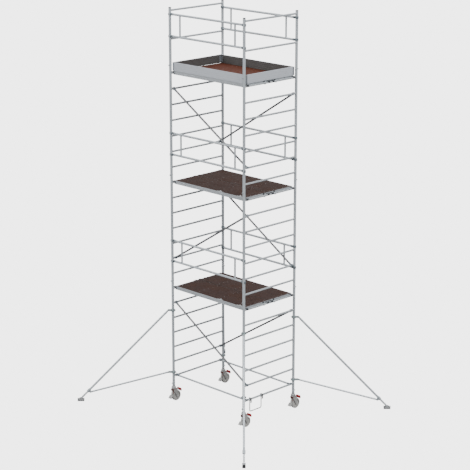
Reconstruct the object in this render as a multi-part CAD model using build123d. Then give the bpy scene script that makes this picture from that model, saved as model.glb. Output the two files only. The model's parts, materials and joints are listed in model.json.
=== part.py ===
"""Mobile tower scaffold.

Four stacks of two-upright ladder frames make two end walls.  Braces, double guardrails and three
pairs of decks hook between them.  The tower stands on four braked castors and four outriggers.

Millimetres.  +X is the length of the decks, +Y the width of the ladder frames, +Z is up.
The origin is on the ground in the middle of the tower.
"""
from build123d import *
import math
import os

# Ladder frames
BAY_LENGTH = 1841.0  # along X, between the upright axes of the two end walls
FRAME_WIDTH = 1296.0  # along Y, between the two upright axes of one frame
FRAME_RISE = 2000.0  # height of one full ladder frame
RUNGS_PER_FRAME = 7
FULL_FRAMES = 3  # full frames in one stack, below the short top frame
FOOT_TO_RUNG = 170.0  # lower end of an upright to the frame's first rung
TOP_FRAME_RISE = 1048.0
TOP_FRAME_RUNGS = (495.0, 1000.0)  # above the top frame's lower end
UPRIGHT_R = 25.4
UPRIGHT_WALL = 2.0
RUNG_R = 18.0
RUNG_WALL = 2.0
SPIGOT_REACH = 110.0  # into each of the two uprights that it joins
SPIGOT_WALL = 3.0
CAP_HEIGHT = 10.0
SLIP = 0.1  # radial gap of parts that plug into each other

# Locking clips, one through the lower end of each upright
CLIP_ABOVE_END = 30.0
CLIP_PIN_R = 4.0
CLIP_HEAD_R = 8.5
CLIP_HEAD_LENGTH = 20.0
CLIP_BOW_R = 2.2

# Guardrails
RAIL_R = 20.0
RAIL_WALL = 2.0
RAIL_SPACING = 390.0  # between the two rails of one guardrail
RAIL_OFFSET = 18.0  # rail plane, inwards from the upright axes
RAIL_ABOVE_DECK_RUNG = 912.0  # top rail on the lower and middle levels
RAIL_BELOW_TOP_RUNG = 67.0  # top rail on the top level
POST_R = 17.0
POST_FROM_RAIL_END = 176.0
JAW_WALL = 8.5
JAW_HEIGHT = 40.0
JAW_MOUTH = 120.0  # degrees left open
SHANK_R = 22.5
RAIL_END_GAP = 62.0  # upright axis to the end of the rail tube

# Braces
BRACE_R = 17.5
BRACE_WALL = 2.0
BRACE_FROM_UPRIGHT = 78.0  # brace axis, inwards from the upright axis along Y
CLAW_WALL = 9.0
CLAW_WIDTH = 38.0
CLAW_MOUTH = 110.0
BRACE_END_GAP = 70.0  # rung axis to the end of the brace tube
DIAGONAL_DROP = 4  # rungs between the two ends of a diagonal

# Decks
DECK_UPRIGHT_GAP = 20.6  # side of the deck to the uprights
DECK_RUNG_GAP = 9.5  # end of the deck to the rungs
DECK_TOP = 38.0  # above the rung axis that carries it
DECK_DEPTH = 63.0
DECK_MIDDLE_GAP = 8.0  # between the two decks of one level
BEAM_WIDTH = 24.0
END_BEAM_WIDTH = 30.0
BEAM_WALL = 2.5
OUTER_LIP = 10.0
INNER_LIP = 5.0
PANEL_THICKNESS = 10.5
PANEL_GAP = 0.5  # panel surface below the lips
JOIST_DEPTH = 24.0
JOIST_WIDTH = 26.0
HOOK_WIDTH = 44.0
HOOK_PLATE = 8.0
HOOK_FROM_SIDE = 24.0  # centre of a hook from its deck's outer side
HOOK_FROM_MIDDLE = 50.0  # centre of a hook from the tower's middle plane
HOOK_TIP = 10.0  # lowest point of a hook below the rung axis
LOCK_WIDTH = 32.0
LOCK_PLATE = 5.0
LOCK_FROM_HOOK = 62.0  # middle of a wind lock from the side of the hook beside it

# Hatches, in the front deck of each level
HATCH_LENGTH = 630.0
HATCH_FROM_END = 100.0  # from the deck's right end
HATCH_FROM_SIDE = 42.0  # from the deck's outer side
HATCH_FROM_MIDDLE = 60.0  # from the tower's middle plane
HATCH_GAP = 3.0
HATCH_LEDGE = 10.0  # joist under the edge of the hatch
HATCH_REST = 0.4  # clearance above the ledge
HINGE_LENGTH = 130.0
HINGE_FROM_HATCH_END = 70.0
HINGE_PLATE = 2.5
KNUCKLE_R = 5.5
HINGE_PIN_R = 3.0
KNUCKLE_GAP = 0.6
RUNNING = 0.06  # radial clearance of everything that turns on a pin

# Toe boards, round the top decks
TOE_HEIGHT = 150.0
TOE_THICKNESS = 25.0
TOE_WALL = 2.5
TOE_CAP = 12.0
TOE_ABOVE_DECK = 3.0
TOE_END_GAP = 21.0  # long boards past the ends of the decks
TOE_BRACKET = 45.0

# Entry step, hung on the first rung of the right frame
STEP_FROM_UPRIGHT = 168.0
STEP_WIDTH = 292.0
STEP_DROP = 240.0
STEP_R = 9.0
STEP_BEND = 28.0
STEP_HOOK_WIDTH = 26.0
STEP_HOOK_TIP = 65.0

# Castors
WHEEL_R = 100.0
WHEEL_WIDTH = 46.0
TREAD = 16.0
AXLE_R = 6.0
TRAIL = 58.0  # wheel axle behind the swivel axis, along +Y
FORK_ROOM = 40.0  # wheel to the fork's roof
FORK_PLATE = 5.0
FORK_INSIDE = 29.0  # half the inside width
ROOF_PLATE = 6.0
HEAD_R = 43.0
HEAD_HEIGHT = 46.0
COLLAR_HEIGHT = 38.0
COLLAR_R = 27.5
STEM_REACH = 150.0
STEM_WALL = 5.0
KINGPIN_R = 9.0
BRAKE_HALF_WIDTH = 17.0
BRAKE_PIN_R = 5.0
BRAKE_PIN_Y = 20.0
PEDAL_HALF_WIDTH = 37.5
SHOE_ANGLES = (122.0, 146.0)  # degrees about the wheel's axle, from +Y towards +Z
SHOE_GAP = 0.5  # locked shoe to the tread

# Outriggers
POLE_R = 20.0
POLE_WALL = 2.0
STRUT_R = 16.5
STRUT_WALL = 2.0
INNER_R = 17.6
INNER_WALL = 2.5
OUTRIGGER_REACH = 1742.0  # upright axis to the foot pivot, level
POLE_BELOW_RUNG = 122.0  # upper coupler below the sixth rung
STRUT_ABOVE_RUNG = 76.0  # lower coupler above the first rung
PIVOT_REACH = 84.0  # upright axis to the pivots on the couplers
COUPLER_WALL = 8.5
COUPLER_HEIGHT = 44.0
COUPLER_FLANGE = 47.0  # half width across the clamp
COUPLER_SLIP = 0.08
INNER_SHOWN = 190.0  # foot pivot to the end of the pole
INNER_HIDDEN = 620.0  # length of the inner tube inside the pole
SLEEVE_LENGTH = 60.0
SLEEVE_WALL = 8.0
STRUT_OFFSET = 43.0  # strut pivot from the pole axis
EAR = 5.0
EAR_R = 17.0
TONGUE = 18.0
PIVOT_PIN_R = 6.0
FOOT_LENGTH = 127.0
FOOT_WIDTH = 60.0
FOOT_RUBBER = 14.0
FOOT_BUMPER = 10.0  # rubber ends that stand up
FOOT_BUMPER_TOP = 50.0
FOOT_PLATE = 4.0
FOOT_CHANNEL_WIDTH = 52.0
FOOT_PIVOT_Z = 48.0
TONGUE_LENGTH = 42.0  # pivot to the tube end

# Places worked out from the dimensions above
HALF_X = BAY_LENGTH / 2
HALF_Y = FRAME_WIDTH / 2
PITCH = FRAME_RISE / RUNGS_PER_FRAME
ROOF_Z = 2 * WHEEL_R + FORK_ROOM
HEAD_Z = ROOF_Z + ROOF_PLATE
COLLAR_Z = HEAD_Z + HEAD_HEIGHT
FRAME_BASE = COLLAR_Z + COLLAR_HEIGHT
TOP_BASE = FRAME_BASE + FULL_FRAMES * FRAME_RISE
TOWER_TOP = TOP_BASE + TOP_FRAME_RISE
DECK_HALF_X = HALF_X - RUNG_R - DECK_RUNG_GAP
DECK_HALF_Y = HALF_Y - UPRIGHT_R - DECK_UPRIGHT_GAP
BEAM_END_X = DECK_HALF_X - END_BEAM_WIDTH
PANEL_TOP = DECK_TOP - PANEL_GAP
PANEL_BOTTOM = PANEL_TOP - PANEL_THICKNESS
HATCH_X1 = DECK_HALF_X - HATCH_FROM_END + END_BEAM_WIDTH
HATCH_X0 = HATCH_X1 - HATCH_LENGTH
HATCH_Y0 = -DECK_HALF_Y + HATCH_FROM_SIDE
HATCH_Y1 = -HATCH_FROM_MIDDLE
HINGE_Y = HATCH_Y0 - 2.0
HINGE_Z = DECK_TOP + KNUCKLE_R
CORNERS = {
    "front_left": (-HALF_X, -HALF_Y),
    "front_right": (HALF_X, -HALF_Y),
    "back_right": (HALF_X, HALF_Y),
    "back_left": (-HALF_X, HALF_Y),
}
SIDES = {"left": -1, "right": 1}
BIG = 5000.0


def rung_z(number):
    """Height of a rung's axis, counted from the lowest rung, number 1."""
    return FRAME_BASE + FOOT_TO_RUNG + (number - 1) * PITCH


DECK_RUNGS = [rung_z(RUNGS_PER_FRAME * (k + 1)) for k in range(FULL_FRAMES)]


def block(x0, x1, y0, y1, z0, z1):
    """Box between two corners."""
    return Solid.make_box(x1 - x0, y1 - y0, z1 - z0, Plane(origin=(x0, y0, z0)))


def rod(start, end, radius):
    """Solid round bar between two points."""
    start, end = Vector(start), Vector(end)
    along = end - start
    return Solid.make_cylinder(radius, along.length, Plane(origin=start, z_dir=along))


def tube(start, end, radius, wall):
    """Round tube between two points."""
    return rod(start, end, radius) - rod(start, end, radius - wall)


def ring(centre, axis, inner, outer, width):
    """Round ring, centred along its axis."""
    half = Vector(axis).normalized() * (width / 2)
    start, end = Vector(centre) - half, Vector(centre) + half
    return rod(start, end, outer) - rod(start, end, inner)


def prism(points, offset, depth):
    """Outline of points, extruded by depth centred on offset along the axis that they share."""
    wire = Wire.make_polygon([Vector(p) for p in points])
    return Solid.extrude(Face(wire), Vector(depth)).moved(Location(Vector(offset) - Vector(depth) / 2))


def plate_xz(points, y, thickness):
    """Outline in the XZ plane, as a plate centred on y."""
    return prism([(x, 0, z) for x, z in points], (0, y, 0), (0, thickness, 0))


def plate_yz(points, x, thickness):
    """Outline in the YZ plane, as a plate centred on x."""
    return prism([(0, y, z) for y, z in points], (x, 0, 0), (thickness, 0, 0))


def wedge_xy(angle, spread, height):
    """Sector about the Z axis, used to open a jaw's mouth towards an angle in degrees."""
    arms = [math.radians(angle - spread / 2), math.radians(angle + spread / 2)]
    points = [(0, 0, 0)] + [(200 * math.cos(a), 200 * math.sin(a), 0) for a in arms]
    return prism(points, (0, 0, 0), (0, 0, height))


def one(shape):
    """The single solid of a boolean result."""
    solids = shape.solids()
    if len(solids) != 1:
        raise ValueError("a piece fell apart into %d solids" % len(solids))
    return solids[0]


def fuse(first, *others):
    """Join touching or overlapping bits of one piece into one solid."""
    return one(first.fuse(*others))


def at_corner(solid, corner, turn=0.0):
    """Copy of a piece made about the Z axis, turned and moved onto one upright."""
    x, y = CORNERS[corner]
    return solid.moved(Location((x, y, 0), (0, 0, turn)))


# Ladder frames -------------------------------------------------------------------------------

def clip_hole(x, y, z):
    """Drill along Y for a locking clip's pin."""
    return rod((x, y - 2 * UPRIGHT_R, z), (x, y + 2 * UPRIGHT_R, z), CLIP_PIN_R + SLIP)


def ladder_frame(x, base, rise, rungs):
    """Two uprights and their rungs."""
    solids = []
    for y in (-HALF_Y, HALF_Y):
        upright = tube((x, y, base), (x, y, base + rise), UPRIGHT_R, UPRIGHT_WALL)
        solids.append(one(upright - clip_hole(x, y, base + CLIP_ABOVE_END)))
    for z in rungs:
        rung = tube((x, -HALF_Y, z), (x, HALF_Y, z), RUNG_R, RUNG_WALL)
        for y in (-HALF_Y, HALF_Y):
            rung = rung - rod((x, y, z - 2 * RUNG_R), (x, y, z + 2 * RUNG_R), UPRIGHT_R)
        solids.append(one(rung))
    return solids


def full_frame(x, storey):
    """Ladder frame of one storey, counted from 0."""
    base = FRAME_BASE + storey * FRAME_RISE
    first = storey * RUNGS_PER_FRAME + 1
    rungs = [rung_z(first + k) for k in range(RUNGS_PER_FRAME)]
    return ladder_frame(x, base, FRAME_RISE, rungs)


def top_frame(x):
    """Short frame that ends one stack."""
    return ladder_frame(x, TOP_BASE, TOP_FRAME_RISE, [TOP_BASE + z for z in TOP_FRAME_RUNGS])


def frame_spigots():
    """Tubes inside the uprights that join one frame to the next."""
    radius = UPRIGHT_R - UPRIGHT_WALL - SLIP
    solids = []
    for x, y in CORNERS.values():
        for storey in range(1, FULL_FRAMES + 1):
            z = FRAME_BASE + storey * FRAME_RISE
            spigot = tube((x, y, z - SPIGOT_REACH), (x, y, z + SPIGOT_REACH), radius, SPIGOT_WALL)
            solids.append(one(spigot - clip_hole(x, y, z + CLIP_ABOVE_END)))
    return solids


def locking_clip():
    """Pin through an upright on the Z axis, its head and the bow that springs round the tube."""
    reach = UPRIGHT_R + 2.5
    pin = rod((0, -reach - 8, 0), (0, reach + 2, 0), CLIP_PIN_R)
    head = rod((0, reach, 0), (0, reach + CLIP_HEAD_LENGTH, 0), CLIP_HEAD_R)
    bow_r = reach + CLIP_BOW_R + 1
    bow = Solid.make_torus(bow_r, CLIP_BOW_R)
    bow = bow - block(-BIG, 0, -BIG, BIG, -BIG, BIG)
    tail = rod((0, -bow_r - 3.5, 0), (0, -bow_r + 3.5, 0), CLIP_PIN_R + 1.5)
    return fuse(pin, head, one(bow), tail)


def locking_clips():
    """One clip at the lower end of every upright, with its head outwards."""
    clip = locking_clip()
    solids = []
    for corner, (x, y) in CORNERS.items():
        for storey in range(FULL_FRAMES + 1):
            z = FRAME_BASE + storey * FRAME_RISE + CLIP_ABOVE_END
            turn = 0 if y > 0 else 180
            solids.append(clip.moved(Location((x, y, z), (0, 0, turn))))
    return solids


def upright_caps():
    """Plastic plugs in the open tops of the uprights."""
    inside = UPRIGHT_R - UPRIGHT_WALL - SLIP
    solids = []
    for x, y in CORNERS.values():
        cap = rod((x, y, TOWER_TOP), (x, y, TOWER_TOP + CAP_HEIGHT), UPRIGHT_R + 0.6)
        cap = cap.fillet(4.0, [cap.edges().sort_by(Axis.Z)[-1]])
        solids.append(fuse(cap, rod((x, y, TOWER_TOP - 30), (x, y, TOWER_TOP), inside)))
    return solids


# Guardrails ----------------------------------------------------------------------------------

def rail_heights(level):
    """Heights of the lower and upper rail of a level's guardrails."""
    top = DECK_RUNGS[level] + RAIL_ABOVE_DECK_RUNG
    if level == FULL_FRAMES - 1:
        top = TOP_BASE + TOP_FRAME_RUNGS[-1] - RAIL_BELOW_TOP_RUNG
    return top - RAIL_SPACING, top


def guardrail(side, level):
    """Two rails and two posts, on the front (-1) or back (+1) side."""
    y = side * (HALF_Y - RAIL_OFFSET)
    end_x = HALF_X - RAIL_END_GAP
    low, high = rail_heights(level)
    solids = [tube((-end_x, y, z), (end_x, y, z), RAIL_R, RAIL_WALL) for z in (low, high)]
    for x in (POST_FROM_RAIL_END - end_x, end_x - POST_FROM_RAIL_END):
        post = tube((x, y, low), (x, y, high), POST_R, RAIL_WALL)
        for z in (low, high):
            post = post - rod((x - 3 * POST_R, y, z), (x + 3 * POST_R, y, z), RAIL_R)
        solids.append(one(post))
    return solids


def guardrails(level):
    """The front and back guardrails of one level."""
    return guardrail(-1, level) + guardrail(1, level)


def guardrail_jaw():
    """Jaw round an upright on the Z axis, open towards -Y, with its shank towards +X."""
    inner = UPRIGHT_R + SLIP
    outer = inner + JAW_WALL
    shank = rod((UPRIGHT_R, RAIL_OFFSET, 0), (RAIL_END_GAP, RAIL_OFFSET, 0), SHANK_R)
    shank = shank - rod((0, 0, -BIG), (0, 0, BIG), inner)
    jaw = ring((0, 0, 0), (0, 0, 1), inner, outer, JAW_HEIGHT) - wedge_xy(-90, JAW_MOUTH, 2 * JAW_HEIGHT)
    latch_x = outer * math.cos(math.radians(-90 + JAW_MOUTH / 2))
    latch = block(latch_x - 6, latch_x + 8, -outer + 8, -4, -JAW_HEIGHT / 2 + 8, JAW_HEIGHT / 2 - 8)
    latch = latch - rod((0, 0, -BIG), (0, 0, BIG), inner)
    return fuse(one(shank), one(jaw), one(latch))


def guardrail_claws():
    """A jaw at both ends of every rail."""
    jaw = guardrail_jaw()
    mirrored = jaw.mirror(Plane.YZ)
    solids = []
    for level in range(FULL_FRAMES):
        for z in rail_heights(level):
            for x, y in CORNERS.values():
                front = jaw if x < 0 else mirrored
                piece = front if y < 0 else front.mirror(Plane.XZ)
                solids.append(one(piece).moved(Location((x, y, z))))
    return solids


# Braces --------------------------------------------------------------------------------------

def brace_ends(left_rung, right_rung, side):
    """The rung points that a brace hooks onto, left end first."""
    y = side * (HALF_Y - BRACE_FROM_UPRIGHT)
    return Vector(-HALF_X, y, rung_z(left_rung)), Vector(HALF_X, y, rung_z(right_rung))


def brace_list():
    """Left rung, right rung and side of the six diagonals."""
    braces = []
    for level in range(FULL_FRAMES):
        high = RUNGS_PER_FRAME * (level + 1) - 1
        low = high - DIAGONAL_DROP
        falls_right = level != 1
        front = (high, low) if falls_right else (low, high)
        braces.append((front[0], front[1], -1))
        braces.append((front[1], front[0], 1))
    return braces


def brace_tube(ends):
    """Tube of one brace, short of the rungs at both ends."""
    left, right = ends
    along = (right - left).normalized()
    return one(tube(left + along * BRACE_END_GAP, right - along * BRACE_END_GAP, BRACE_R, BRACE_WALL))


def brace_claw(here, there):
    """Hook round the rung at one end of a brace, with its shank along the brace."""
    along = (there - here).normalized()
    across = Vector(0, 1, 0)
    inner = RUNG_R + SLIP
    hook = ring((0, 0, 0), across, inner, inner + CLAW_WALL, CLAW_WIDTH)
    mouth = math.atan2(along.Z, along.X) + math.pi + math.copysign(math.radians(50), along.X)
    arms = [mouth - math.radians(CLAW_MOUTH / 2), mouth + math.radians(CLAW_MOUTH / 2)]
    points = [(0, 0)] + [(100 * math.cos(a), 100 * math.sin(a)) for a in arms]
    hook = one(hook - plate_xz(points, 0, 2 * CLAW_WIDTH))
    shank = rod(along * RUNG_R, along * BRACE_END_GAP, BRACE_R + 1.5)
    shank = one(shank - rod((0, -BIG, 0), (0, BIG, 0), inner))
    return fuse(hook, shank).moved(Location(here))


def diagonal_braces(level):
    """The two diagonals of one bay, rising opposite ways on the two long sides."""
    return [brace_tube(brace_ends(*brace)) for brace in brace_list()[2 * level:2 * level + 2]]


def horizontal_braces():
    """Level braces between the lowest rungs."""
    return [brace_tube(brace_ends(1, 1, side)) for side in (-1, 1)]


def brace_claws():
    """Both claws of every brace."""
    solids = []
    for brace in brace_list() + [(1, 1, -1), (1, 1, 1)]:
        left, right = brace_ends(*brace)
        solids.append(brace_claw(left, right))
        solids.append(brace_claw(right, left))
    return solids


# Decks ---------------------------------------------------------------------------------------

def side_beam(y_outer, inwards, lip):
    """Hollow side beam with a lip beside the panel.  inwards is the direction of the panel."""
    far = y_outer + inwards * BEAM_WIDTH
    y0, y1 = sorted((y_outer, far))
    beam = block(-BEAM_END_X, BEAM_END_X, y0, y1, DECK_TOP - DECK_DEPTH, DECK_TOP)
    ledge = sorted((y_outer + inwards * lip, far))
    beam = beam - block(-BEAM_END_X, BEAM_END_X, ledge[0], ledge[1], PANEL_BOTTOM, DECK_TOP)
    hollow_top = PANEL_BOTTOM - BEAM_WALL
    hollow_low = DECK_TOP - DECK_DEPTH + BEAM_WALL
    hollow = block(-BEAM_END_X, BEAM_END_X, y0 + BEAM_WALL, y1 - BEAM_WALL, hollow_low, hollow_top)
    return one(beam - hollow)


def deck_sides(side):
    """Outer and inner edge of one deck along Y, on the front (-1) or back (+1) side."""
    return side * DECK_HALF_Y, side * DECK_MIDDLE_GAP / 2


def deck_frame(side):
    """Side beams, end beams and joists of one deck, about the rung height z = 0."""
    outer, inner = deck_sides(side)
    solids = [side_beam(outer, -side, OUTER_LIP), side_beam(inner, side, INNER_LIP)]
    y0, y1 = sorted((outer, inner))
    for end in SIDES.values():
        x0, x1 = sorted((end * BEAM_END_X, end * DECK_HALF_X))
        beam = block(x0, x1, y0, y1, DECK_TOP - DECK_DEPTH, DECK_TOP)
        low, high = DECK_TOP - DECK_DEPTH + BEAM_WALL, DECK_TOP - BEAM_WALL
        solids.append(one(beam - block(x0 + BEAM_WALL, x1 - BEAM_WALL, y0, y1, low, high)))
    y0, y1 = y0 + BEAM_WIDTH, y1 - BEAM_WIDTH
    if side > 0:
        for x in (-BEAM_END_X / 2, 0, BEAM_END_X / 2):
            solids.append(joist(x - JOIST_WIDTH / 2, x + JOIST_WIDTH / 2, y0, y1))
        return solids
    x_left = HATCH_X0 + HATCH_LEDGE - JOIST_WIDTH
    x_right = HATCH_X1 - HATCH_LEDGE
    middle = (x_left - BEAM_END_X) / 2
    for x in (middle, x_left, x_right):
        solids.append(joist(x, x + JOIST_WIDTH, y0, y1))
    trimmer = HATCH_Y1 - HATCH_LEDGE
    solids.append(joist(x_left + JOIST_WIDTH, x_right, trimmer, trimmer + JOIST_WIDTH))
    return solids


def joist(x0, x1, y0, y1):
    """Flat bearer under the panel."""
    return block(x0, x1, y0, y1, PANEL_BOTTOM - JOIST_DEPTH, PANEL_BOTTOM)


def deck_panel(side):
    """Plywood of one deck: one sheet, or on the front deck a sheet and three strips round the hatch."""
    outer, inner = deck_sides(side)
    y0, y1 = sorted((outer - side * OUTER_LIP, inner + side * INNER_LIP))
    if side > 0:
        sheets = [(-BEAM_END_X, BEAM_END_X, y0, y1)]
    else:
        sheets = [
            (-BEAM_END_X, HATCH_X0, y0, y1),
            (HATCH_X1, BEAM_END_X, y0, y1),
            (HATCH_X0, HATCH_X1, y0, HATCH_Y0),
            (HATCH_X0, HATCH_X1, HATCH_Y1, y1),
        ]
    return [block(*sheet, PANEL_BOTTOM, PANEL_TOP) for sheet in sheets]


def deck_hook(end, y):
    """Hook from an end beam over the rung at the left (-1) or right (+1) end."""
    rung = BAY_LENGTH / 2
    over = rung + RUNG_R + 1.0
    top = RUNG_R + HOOK_PLATE
    outline = [
        (DECK_HALF_X, -RUNG_R), (DECK_HALF_X + 6, -RUNG_R), (DECK_HALF_X + 6, RUNG_R),
        (over, RUNG_R), (over, -HOOK_TIP), (over + HOOK_PLATE, -HOOK_TIP + 4),
        (over + HOOK_PLATE, top - 5), (over + HOOK_PLATE - 5, top), (DECK_HALF_X, top),
    ]
    return plate_xz([(end * x, z) for x, z in outline], y, HOOK_WIDTH)


def wind_lock(end, y):
    """Flat catch on the end beam, turned under the rung."""
    top = DECK_TOP + TOE_ABOVE_DECK - 0.5
    foot = -RUNG_R - 1.5
    outline = [
        (DECK_HALF_X, top), (DECK_HALF_X + LOCK_PLATE, top), (DECK_HALF_X + LOCK_PLATE, foot),
        (HALF_X + 6, foot), (HALF_X + 6, foot - LOCK_PLATE), (DECK_HALF_X, foot - LOCK_PLATE),
    ]
    return plate_xz([(end * x, z) for x, z in outline], y, LOCK_WIDTH)


def deck_hook_set():
    """Hooks of the two decks of one level."""
    outer = DECK_HALF_Y - HOOK_FROM_SIDE
    places = (-outer, -HOOK_FROM_MIDDLE, HOOK_FROM_MIDDLE, outer)
    return [deck_hook(end, y) for end in SIDES.values() for y in places]


def wind_lock_set():
    """One wind lock at each end of the two decks of one level."""
    y = HOOK_FROM_MIDDLE + HOOK_WIDTH / 2 + LOCK_FROM_HOOK
    return [wind_lock(end, side * y) for end in SIDES.values() for side in (-1, 1)]


def hinge_centres():
    """Middle of each of the two hinges of a hatch, along X."""
    return HATCH_X0 + HINGE_FROM_HATCH_END, HATCH_X1 - HINGE_FROM_HATCH_END


def hinge_rod(x0, x1, radius):
    """Round bar on the hinge axis."""
    return rod((x0, HINGE_Y, HINGE_Z), (x1, HINGE_Y, HINGE_Z), radius)


def hatch_hinge(x):
    """Fixed leaf with the middle knuckle, and the pin that is fast in it."""
    third = HINGE_LENGTH / 6
    top = DECK_TOP + HINGE_PLATE
    edge = -DECK_HALF_Y + OUTER_LIP / 2
    inner = HINGE_Y - KNUCKLE_R - KNUCKLE_GAP
    leaf = block(x - 3 * third, x + 3 * third, edge, inner, DECK_TOP, top)
    web = block(x - third, x + third, inner - 2, HINGE_Y, DECK_TOP, top)
    pin = hinge_rod(x - 3 * third, x + 3 * third, HINGE_PIN_R)
    return fuse(leaf, web, hinge_rod(x - third, x + third, KNUCKLE_R), pin)


def hatch_leaf():
    """Lid with the moving halves of its hinges and a turn-button."""
    x0, x1 = HATCH_X0 + HATCH_GAP, HATCH_X1 - HATCH_GAP
    y0, y1 = HATCH_Y0 + HATCH_GAP, HATCH_Y1 - HATCH_GAP
    lid = block(x0, x1, y0, y1, PANEL_BOTTOM + HATCH_REST, PANEL_TOP)
    third = HINGE_LENGTH / 6
    for x in hinge_centres():
        for a, b in ((x - 3 * third, x - third - KNUCKLE_GAP), (x + third + KNUCKLE_GAP, x + 3 * third)):
            strap = block(a, b, HINGE_Y, HATCH_Y0 + 45, PANEL_TOP, DECK_TOP + HINGE_PLATE)
            lid = lid.fuse(strap, hinge_rod(a, b, KNUCKLE_R))
            lid = lid - hinge_rod(a, b, HINGE_PIN_R + RUNNING)
    centre = ((x0 + x1) / 2, y1 - 45)
    button = rod((*centre, PANEL_TOP), (*centre, PANEL_TOP + 3), 24)
    return fuse(one(lid), button, block(centre[0] - 20, centre[0] + 20, centre[1] - 4, centre[1] + 4,
                                        PANEL_TOP, PANEL_TOP + 9))


def on_levels(solids):
    """Copies of a level's pieces at all three deck heights."""
    return [s.moved(Location((0, 0, z))) for z in DECK_RUNGS for s in solids]


# Toe boards ----------------------------------------------------------------------------------

def toe_z():
    """Lower edge of the toe boards."""
    return DECK_RUNGS[-1] + DECK_TOP + TOE_ABOVE_DECK


def hollow_board(x0, x1, y0, y1):
    """Extruded board that stands on the top deck, open at its ends."""
    z0, z1 = toe_z(), toe_z() + TOE_HEIGHT
    along_x = x1 - x0 > y1 - y0
    dx, dy = (0, TOE_WALL) if along_x else (TOE_WALL, 0)
    board = block(x0, x1, y0, y1, z0, z1)
    middle = (z0 + z1) / 2
    for low, high in ((z0 + TOE_WALL, middle - 1), (middle + 1, z1 - TOE_WALL)):
        board = board - block(x0 + dx, x1 - dx, y0 + dy, y1 - dy, low, high)
    return one(board)


def toe_places():
    """Ends of the boards: half length of the long ones, and the short ones' X and half length."""
    long_half = DECK_HALF_X + TOE_END_GAP
    inside = DECK_HALF_Y - TOE_THICKNESS
    return long_half, long_half, inside - 1.0


def toe_boards():
    """Two long and two short boards."""
    long_half, short_x, short_half = toe_places()
    solids = []
    for side in (-1, 1):
        y0, y1 = sorted((side * DECK_HALF_Y, side * (DECK_HALF_Y - TOE_THICKNESS)))
        solids.append(hollow_board(-long_half + TOE_CAP, long_half - TOE_CAP, y0, y1))
        x0, x1 = sorted((side * short_x, side * (short_x - TOE_THICKNESS)))
        solids.append(hollow_board(x0, x1, -short_half + TOE_CAP, short_half - TOE_CAP))
    return solids


def toe_board_clips():
    """End caps of the boards and the angle that holds each corner."""
    long_half, short_x, short_half = toe_places()
    z0, z1 = toe_z(), toe_z() + TOE_HEIGHT
    solids = []
    for sx in SIDES.values():
        for sy in (-1, 1):
            x0, x1 = sorted((sx * long_half, sx * (long_half - TOE_CAP)))
            y0, y1 = sorted((sy * DECK_HALF_Y, sy * (DECK_HALF_Y - TOE_THICKNESS)))
            solids.append(block(x0, x1, y0, y1, z0, z1))
            x0, x1 = sorted((sx * short_x, sx * (short_x - TOE_THICKNESS)))
            y0, y1 = sorted((sy * short_half, sy * (short_half - TOE_CAP)))
            solids.append(block(x0, x1, y0, y1, z0, z1))
            solids.append(toe_corner(sx * (short_x - TOE_THICKNESS), sx, sy * short_half, sy, z0))
    return solids


def toe_corner(x, sx, y, sy, z0):
    """Angle inside a corner, against both boards."""
    thick = 3.0
    low, high = z0 + 20, z0 + TOE_HEIGHT - 20
    far_x, far_y = x - sx * TOE_BRACKET, y - sy * TOE_BRACKET
    y_wall = y + sy * 1.0
    x0, x1 = sorted((x, far_x))
    y0, y1 = sorted((y_wall, y_wall - sy * thick))
    along_x = block(x0, x1, y0, y1, low, high)
    x0, x1 = sorted((x, x - sx * thick))
    y0, y1 = sorted((y_wall, far_y))
    return fuse(along_x, block(x0, x1, y0, y1, low, high))


# Entry step ----------------------------------------------------------------------------------

def step_hook(y):
    """Flat hook over the first rung of the right frame."""
    thick = 8.0
    inner, outer = -RUNG_R - 3, RUNG_R + 1
    top = RUNG_R + thick
    outline = [
        (-2, -RUNG_R - 14), (inner - thick, -RUNG_R - 14), (inner - thick, top - 4),
        (inner - thick + 4, top),
        (outer + thick - 4, top), (outer + thick, top - 4), (outer + thick, -STEP_HOOK_TIP),
        (outer, -STEP_HOOK_TIP), (outer, RUNG_R), (inner, RUNG_R), (inner, -RUNG_R - 6), (-2, -RUNG_R - 6),
    ]
    points = [(HALF_X + x, rung_z(1) + z) for x, z in outline]
    return plate_xz(points, y, STEP_HOOK_WIDTH)


def entry_step():
    """Bent bar that hangs from two hooks."""
    x = HALF_X - 12.0
    y0 = -HALF_Y + STEP_FROM_UPRIGHT
    y1 = y0 + STEP_WIDTH
    top = rung_z(1) - RUNG_R - 10
    low = rung_z(1) - STEP_DROP
    corners = [(x, y0, top), (x, y0, low), (x, y1, low), (x, y1, top)]
    path = FilletPolyline(*corners, radius=STEP_BEND)
    start = Plane(origin=corners[0], z_dir=(0, 0, -1))
    bar = sweep(start * Circle(STEP_R), path=path)
    return [fuse(one(bar), step_hook(y0), step_hook(y1))]


# Castors -------------------------------------------------------------------------------------

def castor_stem():
    """Stem that plugs into an upright on the Z axis, its collar and kingpin."""
    radius = UPRIGHT_R - UPRIGHT_WALL - SLIP
    stem = tube((0, 0, FRAME_BASE), (0, 0, FRAME_BASE + STEM_REACH), radius, STEM_WALL)
    collar = rod((0, 0, COLLAR_Z + 0.4), (0, 0, FRAME_BASE), COLLAR_R)
    kingpin = rod((0, 0, HEAD_Z + 8), (0, 0, FRAME_BASE), KINGPIN_R)
    nut = rod((0, 0, HEAD_Z + 6), (0, 0, HEAD_Z + 18), KINGPIN_R + 6)
    whole = fuse(one(stem), collar, kingpin, nut)
    return one(whole - clip_hole(0, 0, FRAME_BASE + CLIP_ABOVE_END))


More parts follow.
